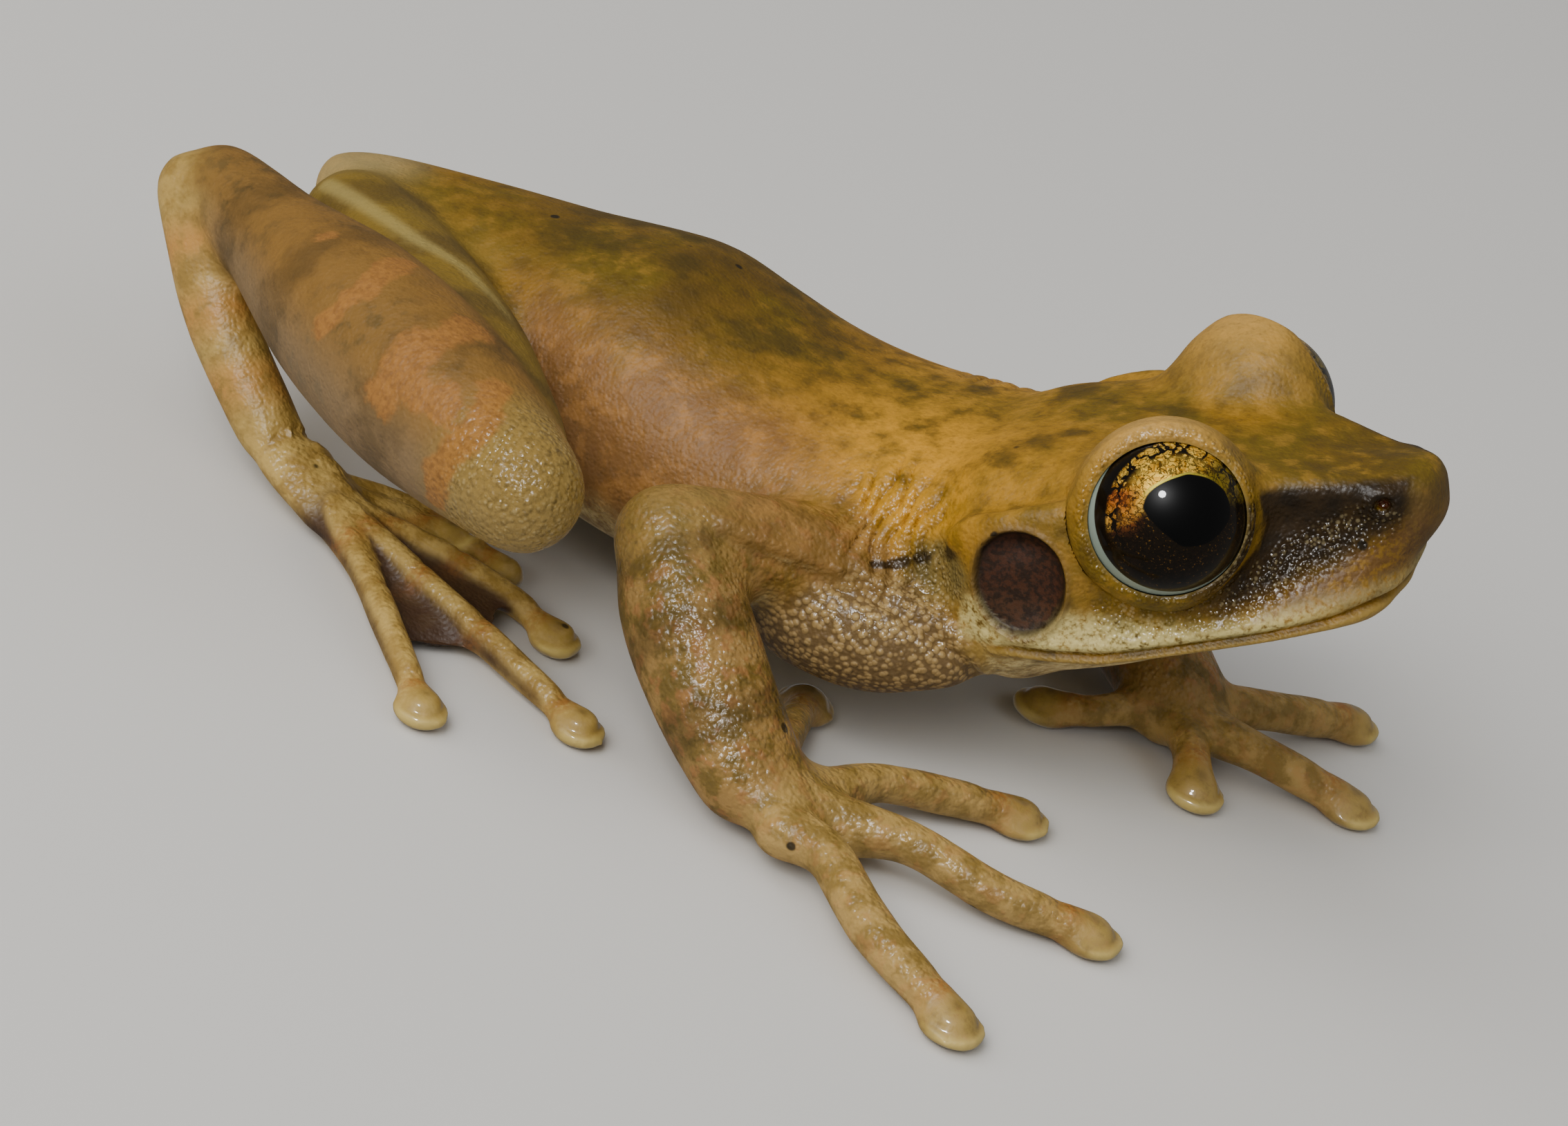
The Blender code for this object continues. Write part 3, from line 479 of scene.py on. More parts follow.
def fine_faces(skin):
    """Splits the faces of the head's details once, so that they can be sculpted finely."""
    mesh = skin.data
    points = read_points(mesh)
    place = head_places(points)
    side = np.abs(place[:, 1])
    out, up = lip_place(place[:, 0])
    lips = (np.hypot(side - out, place[:, 2] - up) < 1.3) & (place[:, 0] > -15.6)
    front = (place[:, 0] > -3.4) & (place[:, 2] > -3.8)
    near = lips | front
    for sign in (-1, 1):
        around = (apart_from(points, eye_middle(sign)) < 5.2) & (side > 3.0)
        near |= around & (dots(points - np.array(eye_middle(sign)), eye_aim(sign)) > -1.4)
    near |= (ear_reach(place) < 1.5) & (side > 5.0)
    near |= apart_from(with_left(place), SHOULDER_FOLDS) < 3.0
    pick_vertices(skin, near)
    bpy.ops.mesh.subdivide(number_cuts=1, smoothness=0.0)
    bpy.ops.mesh.select_all(action="SELECT")
    bpy.ops.mesh.quads_convert_to_tris(quad_method="BEAUTY", ngon_method="BEAUTY")
    bpy.ops.object.mode_set(mode="OBJECT")


def lip_place(back):
    """How far out and how high the line between the lips lies at a place back from the snout tip."""
    places, outs, ups = zip(*LIP_LINE)
    return np.interp(back, places, outs), np.interp(back, places, ups)


def mouth_path():
    """Closely spaced points along the line between the lips, from one jaw corner to the other."""
    backs = np.linspace(MOUTH_CORNER, BEND_START, 160)
    out, up = lip_place(backs)
    side = np.stack([backs, out, up], axis=1)
    turn = np.linspace(0.0, 1.0, 30)[1:, None]
    start, bend, middle = side[-1], np.array(BEND_POINT), np.array(MOUTH_FRONT)
    front = (1 - turn) ** 2 * start + 2 * turn * (1 - turn) * bend + turn ** 2 * middle
    half = np.concatenate([side, front])
    other = half[::-1].copy()
    other[:, 1] *= -1
    return np.concatenate([half, other[1:]])


def near_mouth(place):
    """Distance from the line between the lips, and the height above it."""
    path = mouth_path()
    tree = kdtree.KDTree(len(path))
    for i, spot in enumerate(path):
        tree.insert(spot, i)
    tree.balance()
    distance = np.full(len(place), FAR)
    height = np.zeros(len(place))
    for i in np.flatnonzero((place[:, 0] > -16.5) & (place[:, 2] < 0.8)):
        spot, _, apart = tree.find(place[i])
        distance[i] = apart
        height[i] = place[i, 2] - spot.z
    return distance, height


def sculpt_mouth(points, normals, place):
    """A fine groove between the lips, with a soft roll above and below it."""
    distance, height = near_mouth(place)
    move = -0.30 * hill(distance, 0.15)
    move += 0.10 * hill(height - 0.42, 0.26) * ease(distance, 1.1, 0.7)
    move += 0.08 * hill(height + 0.36, 0.22) * ease(distance, 1.0, 0.6)
    return points + move[:, None] * normals


def sculpt_ears(points, place):
    """A thin ring about each ear disc, which lies a little below the skin."""
    reach = ear_reach(place)
    outer = ease(np.abs(place[:, 1]), 5.0, 6.0)
    move = (0.13 * hill(reach - 1.06, 0.06) - 0.13 * ease(reach, 1.02, 0.94)) * outer
    return points + (move * np.sign(place[:, 1]))[:, None] * np.array(LEFTWARD)


def sculpt_nostrils(points, place):
    """A small pit in a low mound on each side of the snout."""
    for sign in (-1, 1):
        mark = place[apart_from(place, (NOSTRIL[0], sign * NOSTRIL[1], NOSTRIL[2])).argmin()]
        apart = apart_from(place, mark, (1.0, 0.7, 1.15))
        inward = np.array(head_direction(-0.25, -sign * 0.9, -0.25))
        move = 0.40 * hill(apart, 0.24) - 0.16 * hill(apart - 0.45, 0.28)
        points = points + move[:, None] * inward
    return points


def sculpt_snout(points, place):
    """The snout dips between the eyes and the nostrils, its front slants back below, and the temples sink."""
    back, out, up = place.T
    dip = -0.20 * hill(back + 4.2, 2.0) * (1.0 - ease(np.abs(out), 1.2, 2.8)) * ease(up, 0.6, 1.4)
    dip -= (0.16 + 0.22 * ease(out, -0.5, 1.5)) * hill(back + 2.6, 2.4) * ease(up, 0.9, 1.6)
    slant = 0.55 * ease(back, -2.6, -0.4) * ease(up, 0.2, -1.9)
    points = points - slant[:, None] * np.array(FORWARD)
    temple = apart_from(with_left(place), TEMPLE, (0.8, 0.9, 1.0))
    dip -= np.where(out < 0.0, 0.46, 0.22) * hill(temple, 1.4)
    return points + dip[:, None] * np.array(UPWARD)


def sculpt_jaw(points, normals, place):
    """Draws the lower jaw in under the upper lip, so that it stays slim."""
    _, up = lip_place(place[:, 0])
    under = up - place[:, 2]
    slim = ease(under, 0.1, 0.9) * (1.0 - ease(under, 2.4, 4.4)) * ease(np.abs(place[:, 1]), 1.0, 3.0)
    slim *= ease(place[:, 0], -15.8, -13.4) * (1.0 - ease(place[:, 0], -4.0, -1.6))
    return points - 0.62 * slim[:, None] * normals


def shoulder_folds(place):
    """The ridges of the folds that bend round behind the ears, and where they lie."""
    apart = apart_from(with_left(place), SHOULDER_FOLDS, (1.0, 0.8, 0.75))
    wander = 0.16 * np.sin(2.3 * place[:, 2] + 0.8) + 0.10 * np.sin(4.1 * place[:, 0] + 2.0 * place[:, 2])
    from_ear = np.hypot(place[:, 0] - EAR_CENTRE[0], place[:, 2] - EAR_CENTRE[2] + 0.6)
    ridges = np.abs(np.sin(math.pi * (from_ear + wander) / 0.62)) ** 0.6 - 0.7
    ridges *= 0.85 + 0.15 * np.sin(1.7 * from_ear + 3.1 * place[:, 2])
    return ridges, 1.0 - ease(apart, 1.2, 2.7)


def sculpt_folds(points, normals, place):
    """The folds behind the ears, the edge of the jaw over the throat sac and the fold of the arm pit."""
    ridges, folded = shoulder_folds(place)
    move = 0.24 * ridges * folded
    fold, over = near_pair(points, mirrored(points), JAW_FOLD)
    arm, under = near_pair(points, as_on_the_right(points, "shoulder", "elbow"), ARM_FOLD)
    move += -0.26 * hill(fold, 0.24) + 0.14 * hill(fold - 0.5, 0.3) * ease(over, 0.0, 0.3)
    move += 0.14 * hill(arm, 0.32) - 0.16 * hill(arm - 0.62, 0.22) * ease(-under, 0.0, 0.4)
    return points + move[:, None] * normals


def sculpt_lids(points):
    """Presses the skin over each eye back to the plane of the lids and rounds their rim."""
    for sign in (-1, 1):
        middle, aim = np.array(eye_middle(sign)), np.array(eye_aim(sign))
        relative = points - middle
        depth = dots(relative, aim)
        flat = relative - depth[:, None] * aim
        radius = np.linalg.norm(flat, axis=1)
        height = dots(flat, UPWARD) / np.maximum(radius, 0.01)
        close = np.linalg.norm(relative, axis=1) < 5.0
        rim = LID_PLANE + 0.10 * height
        ceiling = rim - 1.5 * np.clip(radius - 3.0, 0.0, 1.0) ** 2
        over = close & (depth > ceiling) & (radius < 3.75)
        drop = np.where(over, ceiling - depth, 0.0)
        furrow = -0.16 * hill(radius - 3.80, 0.16) * ease(depth, -1.2, -0.4) * close
        reach = np.maximum(np.linalg.norm(relative, axis=1), 0.001)
        outward = relative / reach[:, None]
        front = ease(dots(flat, FORWARD) / np.maximum(radius, 0.01), 0.1, 0.8)
        thin = -np.clip(reach - 3.62 + 0.34 * front, 0.0, 0.34 * front) * ease(depth, -0.4, 0.6)
        thin *= 1.0 - ease(reach, 3.9, 4.4)
        points = points + drop[:, None] * aim + (thin + furrow * (1.0 - 0.8 * front))[:, None] * outward
    return points


def near_digits(points):
    """Distance in plan from the nearest digit, and how far from its pad and beyond it, in the pad's radii."""
    flat = points * (1.0, 1.0, 0.0)
    distance = np.full(len(points), FAR)
    apart = np.full(len(points), FAR)
    beyond = np.full(len(points), -FAR)
    for digits, radius in ((FINGERS, FINGER_PAD), (TOES, TOE_PAD)):
        for digit in digits:
            path = np.array([(x, y, 0.0) for x, y in digit])
            run = (path[-1] - path[-2]) / np.linalg.norm(path[-1] - path[-2])
            reach = apart_from(flat, path[-1]) / radius
            distance = np.minimum(distance, near_path(flat, path)[0])
            beyond = np.where(reach < apart, (flat - path[-1]) @ run / radius, beyond)
            apart = np.minimum(apart, reach)
    return distance, apart, beyond


def sculpt_digits(points, normals, webbed):
    """Round pads with a soft rim on their free side and a dimple, sunken webs and a ridge along each toe."""
    distance, apart, beyond = near_digits(points)
    low = ease(points[:, 2], 2.2, 1.5)
    level = ease(normals[:, 2], 0.1, 0.6)
    free = ease(beyond, -0.5, 0.2)
    move = -0.13 * hill(apart - 0.80, 0.13) * free + 0.06 * hill(apart, 0.5)
    move = (move - 0.07 * hill(apart - 0.1, 0.16)) * low * level
    move -= 0.07 * hill(beyond + 1.15, 0.3) * hill(distance, 0.8) * low * level
    web = webbed * ease(distance, 0.45, 0.80) * ease(apart, 1.2, 1.6)
    move += -0.16 * web * level + 0.07 * webbed * hill(distance, 0.28) * level * ease(apart, 1.1, 1.5)
    outward = 0.05 * hill(apart - 1.0, 0.12) * low * free * ease(normals[:, 2], 0.8, 0.3)
    return points + (move + outward)[:, None] * normals


def carve_sockets(skin):
    """Cuts the eyeballs' room out of the skin, which leaves the lids' sharp inner edge."""
    for sign in (-1, 1):
        bpy.ops.object.select_all(action="DESELECT")
        radius = (EYE_RADIUS + SOCKET_GAP) * MM
        bpy.ops.mesh.primitive_uv_sphere_add(segments=112, ring_count=56, radius=radius,
                                             location=at(eye_middle(sign)))
        ball = bpy.context.active_object
        ball.rotation_mode = "QUATERNION"
        ball.rotation_quaternion = eye_aim(sign).to_track_quat("Z", "Y")
        settle(ball)
        finish_with(skin, "BOOLEAN", operation="DIFFERENCE", solver="EXACT", object=ball)
        bpy.data.meshes.remove(ball.data)


def make_skin():
    skin = gather_flesh()
    points, edges = close_seams(skin)
    owner = nearest_nodes(points)
    stout = broadness(points, owner)
    stout = neighbour_mean(neighbour_mean(stout[:, None], edges), edges)[:, 0]
    seams = seam_weights(points)
    snout = 0.5 * hill(apart_from(head_places(points), SNOUT_MIDDLE, (0.7, 0.5, 0.6)), 2.0)
    points = soften(points, edges, 30)
    weight = np.clip(stout + snout + 0.5 * seams * (stout > 0.08), 0.0, 1.0)
    points = soften(points, edges, 34, weight=weight, keep_size=False)
    write_points(skin.data, points)
    fine_faces(skin)
    points, edges = read_points(skin.data), read_edges(skin.data)
    webbed = np.array([name.startswith("foot") for name in FLESH])[nearest_nodes(points)].astype(float)
    place = head_places(points)
    points = sculpt_snout(points, place)
    points = sculpt_ears(points, place)
    points = sculpt_lids(points)
    points = sculpt_digits(points, read_normals(skin.data), webbed)
    points = sculpt_nostrils(points, head_places(points))
    for sculpt in (sculpt_folds, sculpt_jaw, sculpt_mouth):
        write_points(skin.data, points)
        points = sculpt(points, read_normals(skin.data), head_places(points))
    points = soften(points, edges, 2, strength=0.3)
    points[:, 2] = np.maximum(points[:, 2], 0.0)
    write_points(skin.data, points)
    triangles = sum(len(polygon.vertices) - 2 for polygon in skin.data.polygons)
    if triangles > SKIN_TRIANGLES:
        finish_with(skin, "DECIMATE", ratio=SKIN_TRIANGLES / triangles)
    carve_sockets(skin)
    keep_largest(skin)
    select_only(skin)
    bpy.ops.object.shade_smooth_by_angle(angle=math.radians(SMOOTH_ANGLE))
    return skin


# ---- where the skin's colours lie ----


# Dark blotches of the back: middle and radius
BACK_BLOTCHES = [
    (-2.4, -2.2, 11.1, 0.8), (-1.2, -1.3, 11.1, 1.1), (0.3, -0.3, 11.0, 0.9), (4.5, 1.4, 11.4, 0.5),
    (6.4, 1.1, 12.0, 0.6), (8.6, 0.2, 12.9, 0.5), (-11.0, -1.3, 11.2, 1.2), (-9.0, -1.2, 11.6, 1.1),
    (-6.4, -1.0, 12.0, 0.9),
]
NAPE_BLOTCHES = [
    (10.1, -5.4, 13.1, 0.55), (10.8, -4.4, 13.7, 0.75), (11.7, -3.4, 14.2, 0.6), (14.4, -0.6, 15.6, 0.8),
]
# The torn dark stripe that runs from the eye over the ear to the shoulder: middle and half width
EAR_STRIPE = [
    (12.4, -8.8, 11.9, 0.20), (11.5, -8.9, 11.1, 0.30), (10.4, -8.4, 10.1, 0.30), (9.1, -7.8, 8.9, 0.28),
    (8.2, -8.0, 8.2, 0.22), (7.4, -8.5, 7.9, 0.14),
]
# Rust patches of the right shank, as strokes: two ends and a half width
RUST_STROKES = [
    ((-12.0, -13.5, 12.8), (-12.0, -15.6, 12.2), 0.65), ((-12.0, -15.6, 12.2), (-13.0, -17.0, 10.6), 0.5),
    ((-15.3, -13.0, 12.2), (-16.2, -14.0, 10.6), 0.35), ((-7.6, -15.4, 12.7), (-8.3, -17.4, 12.3), 0.75),
    ((-8.3, -17.4, 12.3), (-8.7, -18.9, 10.6), 0.95), ((-8.3, -18.4, 11.3), (-6.2, -19.2, 11.4), 0.75),
    ((-4.9, -17.9, 12.3), (-4.4, -19.6, 11.5), 0.6), ((-4.4, -19.6, 11.5), (-5.2, -20.2, 9.2), 0.7),
    ((-5.3, -20.2, 9.6), (-5.2, -19.8, 8.2), 0.55),
]
# Crossbars: the flesh, the joints at its ends, where along it they lie, their half width and their strength
CROSSBARS = [
    ("forearm", "elbow", "wrist", (0.10, 0.42, 0.78), 0.07, 1.0),
    ("thigh", "knee", "hip", (0.2, 0.45, 0.7, 0.92), 0.05, 1.0),
    ("shank", "knee", "heel", (0.24, 0.58, 0.82), 0.06, 0.8),
]
WARM_BARS = [("tarsus", "heel", "ankle", (0.22, 0.5, 0.8), 0.07, 1.0)]
# The pale line along the back of the thigh, a sheen on the thigh's edge painted as colour
THIGH_SHEEN_LINE = [
    (-20.7, -4.3, 9.6), (-18.2, -5.6, 10.2), (-14.4, -7.6, 10.9), (-11.8, -8.4, 11.1), (-9.2, -10.0, 10.9),
    (-6.6, -12.4, 10.4), (-4.9, -14.4, 9.6),
]
# The lower edge of the dark mask between eye and nostril, and the upper edge of the pale lip: place back
# from the snout tip, and height
LORE_EDGE = [(-9.0, -2.7), (-6.4, -2.4), (-5.07, -1.85), (-3.23, -1.08), (-1.85, -0.14), (-0.9, 0.2)]
LIP_EDGE = [
    (-14.5, -1.9), (-12.5, -2.3), (-10.4, -2.7), (-7.6, -2.95), (-4.85, -2.5), (-3.1, -2.05), (-1.4, -1.7),
]
# The band of bright grains below the mask, and the damp grains behind the ear, as places on the head
GRAIN_BAND = [
    (-10.5, 6.9, -2.6), (-8.4, 6.2, -2.6), (-6.74, 5.54, -2.33), (-5.69, 4.64, -1.7), (-4.35, 3.65, -0.86),
    (-2.97, 2.75, 0.07), (-1.86, 2.38, 0.39),
]
BEHIND_EAR = (-17.6, 6.4, -2.2)
UNDER_EAR = (-17.2, 6.5, -1.9)
# The vent, the golden nape on both sides, and the twin of a blotch across the bent back
VENT = (-21.6, -0.8, 9.0)
GOLD_NAPE = [(6.5, -5.5, 10.5), (6.5, 5.0, 10.5)]
BACK_TWIN_SHIFT = (0.6, 0.9, 0.0)


def spots(points, rows):
    """The field of round marks: 1 in their middles, 0.5 at their edges and 0 a radius beyond."""
    field = np.zeros(len(points))
    for x, y, z, radius in rows:
        field = np.maximum(field, 1.0 - apart_from(points, (x, y, z)) / (2.0 * radius))
    return field


def strokes(points, rows):
    """The same for straight strokes with round ends."""
    field = np.zeros(len(points))
    for start, end, radius in rows:
        field = np.maximum(field, 1.0 - apart_from(points, nearest_on(points, start, end)) / (2.0 * radius))
    return field


def torn_path(points, rows):
    """The same for a path whose width changes."""
    return strokes(points, [(one[:3], two[:3], (one[3] + two[3]) / 2) for one, two in zip(rows, rows[1:])])


def both_sides(points, field_of, rows):
    """A field and its mirror image across the middle of the head."""
    return np.maximum(field_of(points, rows), field_of(mirrored(points), rows))


def line_height(line, back):
    """The height of a line on the side of the head at a place back from the snout tip."""
    places, heights = zip(*line)
    return np.interp(back, places, heights)


def shares_of_flesh(points, edges):
    """How much each point belongs to each node of flesh and to each pair of them, blended over the seams."""
    weights = np.zeros((len(points), len(FLESH)))
    weights[np.arange(len(points)), nearest_nodes(points)] = 1.0
    for _ in range(14):
        weights = 0.4 * weights + 0.6 * neighbour_mean(weights, edges)
    flesh = {name: weights[:, number] for number, name in enumerate(FLESH)}
    for name in FLESH:
        if name.endswith("_right"):
            pair = name.replace("_right", "")
            flesh[pair] = flesh[name] + flesh[pair + "_left"]
    return flesh


def crossbars(points, flesh, rows):
    """The field of the crossbars on the limbs of both sides."""
    field = np.zeros(len(points))
    for part, start, end, places, width, strength in rows:
        for side, joints in (("_right", RIGHT), ("_left", LEFT)):
            share = along_limb(points, joints[start], joints[end])
            for place in places:
                bar = 1.0 - np.abs(share - place) / (2.0 * width)
                field = np.maximum(field, strength * bar * flesh[part + side])
    return field


def eye_rims(points):
    """The rims of the lids, and the thin line of skin against the eyeballs."""
    rim = np.zeros(len(points))
    inner = np.zeros(len(points))
    for sign in (-1, 1):
        relative = points - np.array(eye_middle(sign))
        depth = dots(relative, eye_aim(sign))
        radius = np.sqrt(np.maximum((relative ** 2).sum(axis=1) - depth ** 2, 0.0))
        rim = np.maximum(rim, (1.0 - ease(radius, 3.1, 3.5)) * ease(depth, -0.6, 0.2) * (radius < 4.0))
        inner = np.maximum(inner, (1.0 - ease(radius, 2.88, 3.02)) * ease(depth, 0.0, 0.5))
    return rim, inner


def head_marks(points, normals, flesh):
    """The marks of the ears, the dark mask, the snout and the lips."""
    place = head_places(points)
    back, out, up = place.T
    side, head = np.abs(out), flesh["head"]
    sideways = np.abs(dots(normals, LEFTWARD))
    marks = {}
    reach, on_side = ear_reach(place), ease(side, 5.0, 6.0)
    marks["ear"] = (1.0 - ease(reach, 0.90, 1.00)) * on_side
    # The raised ring round the ear disc, painted paler as a highlight on it
    marks["ear_ring"] = hill(reach - 1.07, 0.07) * on_side
    # Painted shade along the edge of the ear disc, where it sinks below its ring
    marks["ear_edge"] = hill(reach - 0.96, 0.09) * on_side

    over_edge = up - line_height(LORE_EDGE, back)
    lore = (1.0 - ease(up, 1.62, 1.95)) * ease(over_edge, -0.7, 0.5) * ease(sideways, 0.15, 0.35)
    marks["lore"] = lore * ease(back, -8.2, -6.4) * (1.0 - ease(back, -1.15, -0.6)) * head
    bronze = ease(over_edge, 0.9, -0.3) * ease(up, -3.0, -2.2) * ease(back, -13.0, -9.0)
    marks["bronze"] = bronze * head * ease(sideways, 0.2, 0.5)
    # Painted shade, dark reddish brown, in the nostril pit
    marks["nostril"] = 1.0 - ease(apart_from(with_left(place), NOSTRIL), 0.15, 0.42)
    marks["snout"] = ease(back, -6.5, -3.0) * ease(up, 0.8, 1.5) * head * (1.0 - ease(back, -1.6, -0.8))
    marks["tip"] = ease(back, -1.5, -0.4) * (1.0 - ease(up, 1.0, 1.9)) * head

    distance, height = near_mouth(place)
    close = ease(distance, 2.6, 2.0) * head
    pale = ease(height, 0.0, 0.12) * (1.0 - ease(up - line_height(LIP_EDGE, back), -0.55, 0.35))
    marks["pale"] = pale * close * (1.0 - 0.65 * ease(back, -5.5, -2.5))
    marks["lip_under"] = ease(-height, 0.05, 0.2) * (1.0 - ease(-height, 0.5, 0.9)) * close
    # Painted shade in the groove between the lips
    marks["mouth"] = 1.0 - ease(distance, 0.06, 0.20)

    ridges, folded = shoulder_folds(place)
    # Painted shade in the troughs of the folds behind the ears
    marks["crease"] = ease(-ridges, 0.15, 0.55) * folded
    under_ear = apart_from(with_left(place), UNDER_EAR, (0.7, 0.6, 1.0))
    marks["temple"] = (1.0 - ease(under_ear, 0.7, 1.7)) * (head + flesh["torso"])
    brow = np.zeros(len(points))
    for sign in (-1, 1):
        above = eye_middle(sign) + 2.6 * head_direction(-0.1, 0.0, 1.0)
        brow = np.maximum(brow, hill(apart_from(points, above), 2.4))
    marks["brow"] = brow * head
    return marks


def trunk_marks(points, upward, flesh):
    """The marks of the back, the flanks and the belly."""
    head, torso = flesh["head"], flesh["torso"]
    out, height = np.abs(points[:, 1]), points[:, 2]
    marks = {}
    twin = points * (1.0, -1.0, 1.0) + BACK_TWIN_SHIFT
    blotch = np.maximum(spots(points, BACK_BLOTCHES), 0.9 * spots(twin, BACK_BLOTCHES)) * torso
    marks["blotch"] = np.maximum(blotch, both_sides(points, spots, NAPE_BLOTCHES))
    marks["stripe"] = both_sides(points, torn_path, EAR_STRIPE)
    trunk = np.clip(head + torso + flesh["upper_arm"] + flesh["thigh"] * 0.6, 0.0, 1.0)
    below = -head_places(points)[:, 2] * head + 9.0 * (1.0 - head)
    marks["belly"] = ease(-upward, 0.05, 0.65) * trunk * ease(below, 3.6, 4.6)
    marks["vent"] = 1.0 - ease(apart_from(points, VENT), 1.6, 4.2)
    marks["back"] = torso * ease(height, 9.0, 11.5) * ease(points[:, 0], 7.0, 1.5)
    flank = torso * ease(out, 3.0, 6.0) * ease(height, 12.0, 9.0) * ease(points[:, 0], 7.0, 1.0)
    marks["flank"] = np.clip(flank + 0.8 * flesh["upper_arm"], 0.0, 1.0)
    nape = np.maximum(*(hill(apart_from(points, middle, (0.75, 0.8, 1.0)), 4.2) for middle in GOLD_NAPE))
    marks["gold"] = nape * (torso + head)
    return marks


def limb_marks(points, upward, flesh):
    """The marks of the arms, the legs, the webs and the pads."""
    marks = {part: flesh[part] for part in ("shank", "thigh")}
    marks["sac"] = flesh["throat_sac"]
    matched = as_on_the_right(points, "knee", "heel")
    marks["rust"] = np.maximum(strokes(points, RUST_STROKES) * flesh["shank_right"],
                               strokes(matched, RUST_STROKES) * flesh["shank_left"])
    marks["bar"] = crossbars(points, flesh, CROSSBARS)
    marks["warm"] = crossbars(points, flesh, WARM_BARS)
    marks["shank_side"] = flesh["shank"] * (1.0 - ease(upward, -0.2, 0.55))
    marks["arm"] = flesh["forearm"] + 0.5 * flesh["upper_arm"] + 0.6 * flesh["hand"]
    marks["digit"] = flesh["hand"] + flesh["foot"] + 0.8 * flesh["tarsus"]

    distance, apart, beyond = near_digits(points)
    low = ease(points[:, 2], 2.2, 1.6)
    marks["pad"] = (1.0 - ease(apart, 0.85, 1.30)) * low * ease(beyond, -0.95, -0.15)
    # The pale rim of each pad's free edge: partly its own paler rim, partly a painted highlight
    marks["pad_edge"] = hill(apart - 0.97, 0.12) * low * ease(beyond, -0.2, 0.3)
    marks["pad_root"] = hill(beyond + 0.75, 0.45) * hill(distance, 0.7) * ease(points[:, 2], 2.4, 1.8)
    # Painted shade in the small dimple of each pad
    marks["pad_dimple"] = hill(apart, 0.20) * low * ease(upward, 0.3, 0.7)
    from_ankle = np.minimum(*(apart_from(points, joints["ankle"]) for joints in (RIGHT, LEFT)))
    web = ease(distance, 0.42, 0.66) * ease(apart, 1.25, 1.6) * ease(from_ankle, 3.2, 5.0)
    marks["web"] = flesh["foot"] * web

    knee = np.zeros(len(points))
    for joints in (RIGHT, LEFT):
        knee = np.maximum(knee, 1.0 - ease(apart_from(points, joints["knee"]), 2.4, 4.4))
        knee = np.maximum(knee, 0.7 - 0.7 * ease(apart_from(points, joints["elbow"]), 2.0, 3.6))
    marks["knee"] = knee
    # Painted sheen: the pale line along the edge of the thigh
    line = near_pair(points, as_on_the_right(points, "hip", "knee"), THIGH_SHEEN_LINE)[0]
    marks["thigh_line"] = (1.0 - ease(line, 0.12, 0.55)) * np.clip(flesh["thigh"] + flesh["torso"], 0.0, 1.0)
    fold = near_pair(points, as_on_the_right(points, "shoulder", "elbow"), ARM_FOLD)[0]
    marks["fold"] = 1.0 - ease(fold, 0.35, 0.85)
    return marks


def wet_marks(points, upward, flesh, marks, rim):
    """Where the skin's small grains glisten, and where its coarse ones stand."""
    dry = (1.0 - marks["ear"]) * (1.0 - marks["pad"])
    place = with_left(head_places(points))
    glint = np.maximum.reduce([
        1.0 - ease(near_path(place, GRAIN_BAND)[0], 0.5, 1.4),
        1.0 - ease(apart_from(place, BEHIND_EAR), 1.0, 2.4),
        0.6 - 0.6 * ease(apart_from(place, SHOULDER_FOLDS, (0.8, 0.8, 0.8)), 1.0, 3.4),
        0.35 * marks["lore"],
        0.35 * flesh["forearm"] * ease(upward, -0.2, 0.5),
        0.3 * flesh["upper_arm"],
        rim,
    ])
    digits = 0.7 * flesh["hand"] + 0.6 * flesh["foot"] + 0.3 * flesh["tarsus"]
    coarse = np.maximum.reduce([
        0.8 * flesh["forearm"] * ease(upward, -0.3, 0.4),
        0.9 * marks["knee"],
        0.5 * flesh["upper_arm"],
        marks["sac"] * ease(points[:, 2], 5.0, 6.4),
        digits * ease(upward, 0.1, 0.6),
        0.8 * marks["temple"],
    ])
    return {"glint": np.clip(glint, 0.0, 1.0) * dry,
            "coarse": np.clip(coarse, 0.0, 1.0) * dry * (1.0 - marks["web"])}


def skin_marks(points, normals, edges):
    """The fields that the skin's material colours and grains by, each from 0 to 1."""
    flesh = shares_of_flesh(points, edges)
    upward = normals[:, 2]
    rim, inner = eye_rims(points)
    marks = head_marks(points, normals, flesh)
    marks.update(trunk_marks(points, upward, flesh))
    marks.update(limb_marks(points, upward, flesh))
    marks.update(wet_marks(points, upward, flesh, marks, rim))
    marks["inner_rim"] = inner
    marks["gold"] = np.clip(marks["gold"] + 0.4 * marks["brow"], 0.0, 1.0)
    marks["smooth"] = np.clip(marks["ear"] + marks["pad"] + inner + marks["mouth"], 0.0, 1.0)
    return marks


def mark_skin(skin):
    mesh = skin.data
    points = read_points(mesh)
    for name, field in skin_marks(points, read_normals(mesh), read_edges(mesh)).items():
        attribute = mesh.attributes.new(name, "FLOAT", "POINT")
        attribute.data.foreach_set("value", field.astype(np.float32))


# ---- the eyes ----


# The way the pupils look, in the head's forward, left and up
GAZE = (0.474, 0.807, 0.353)
# The middle of the pupil, ahead of and above the middle of the iris
PUPIL_PLACE = (0.24, 0.18)


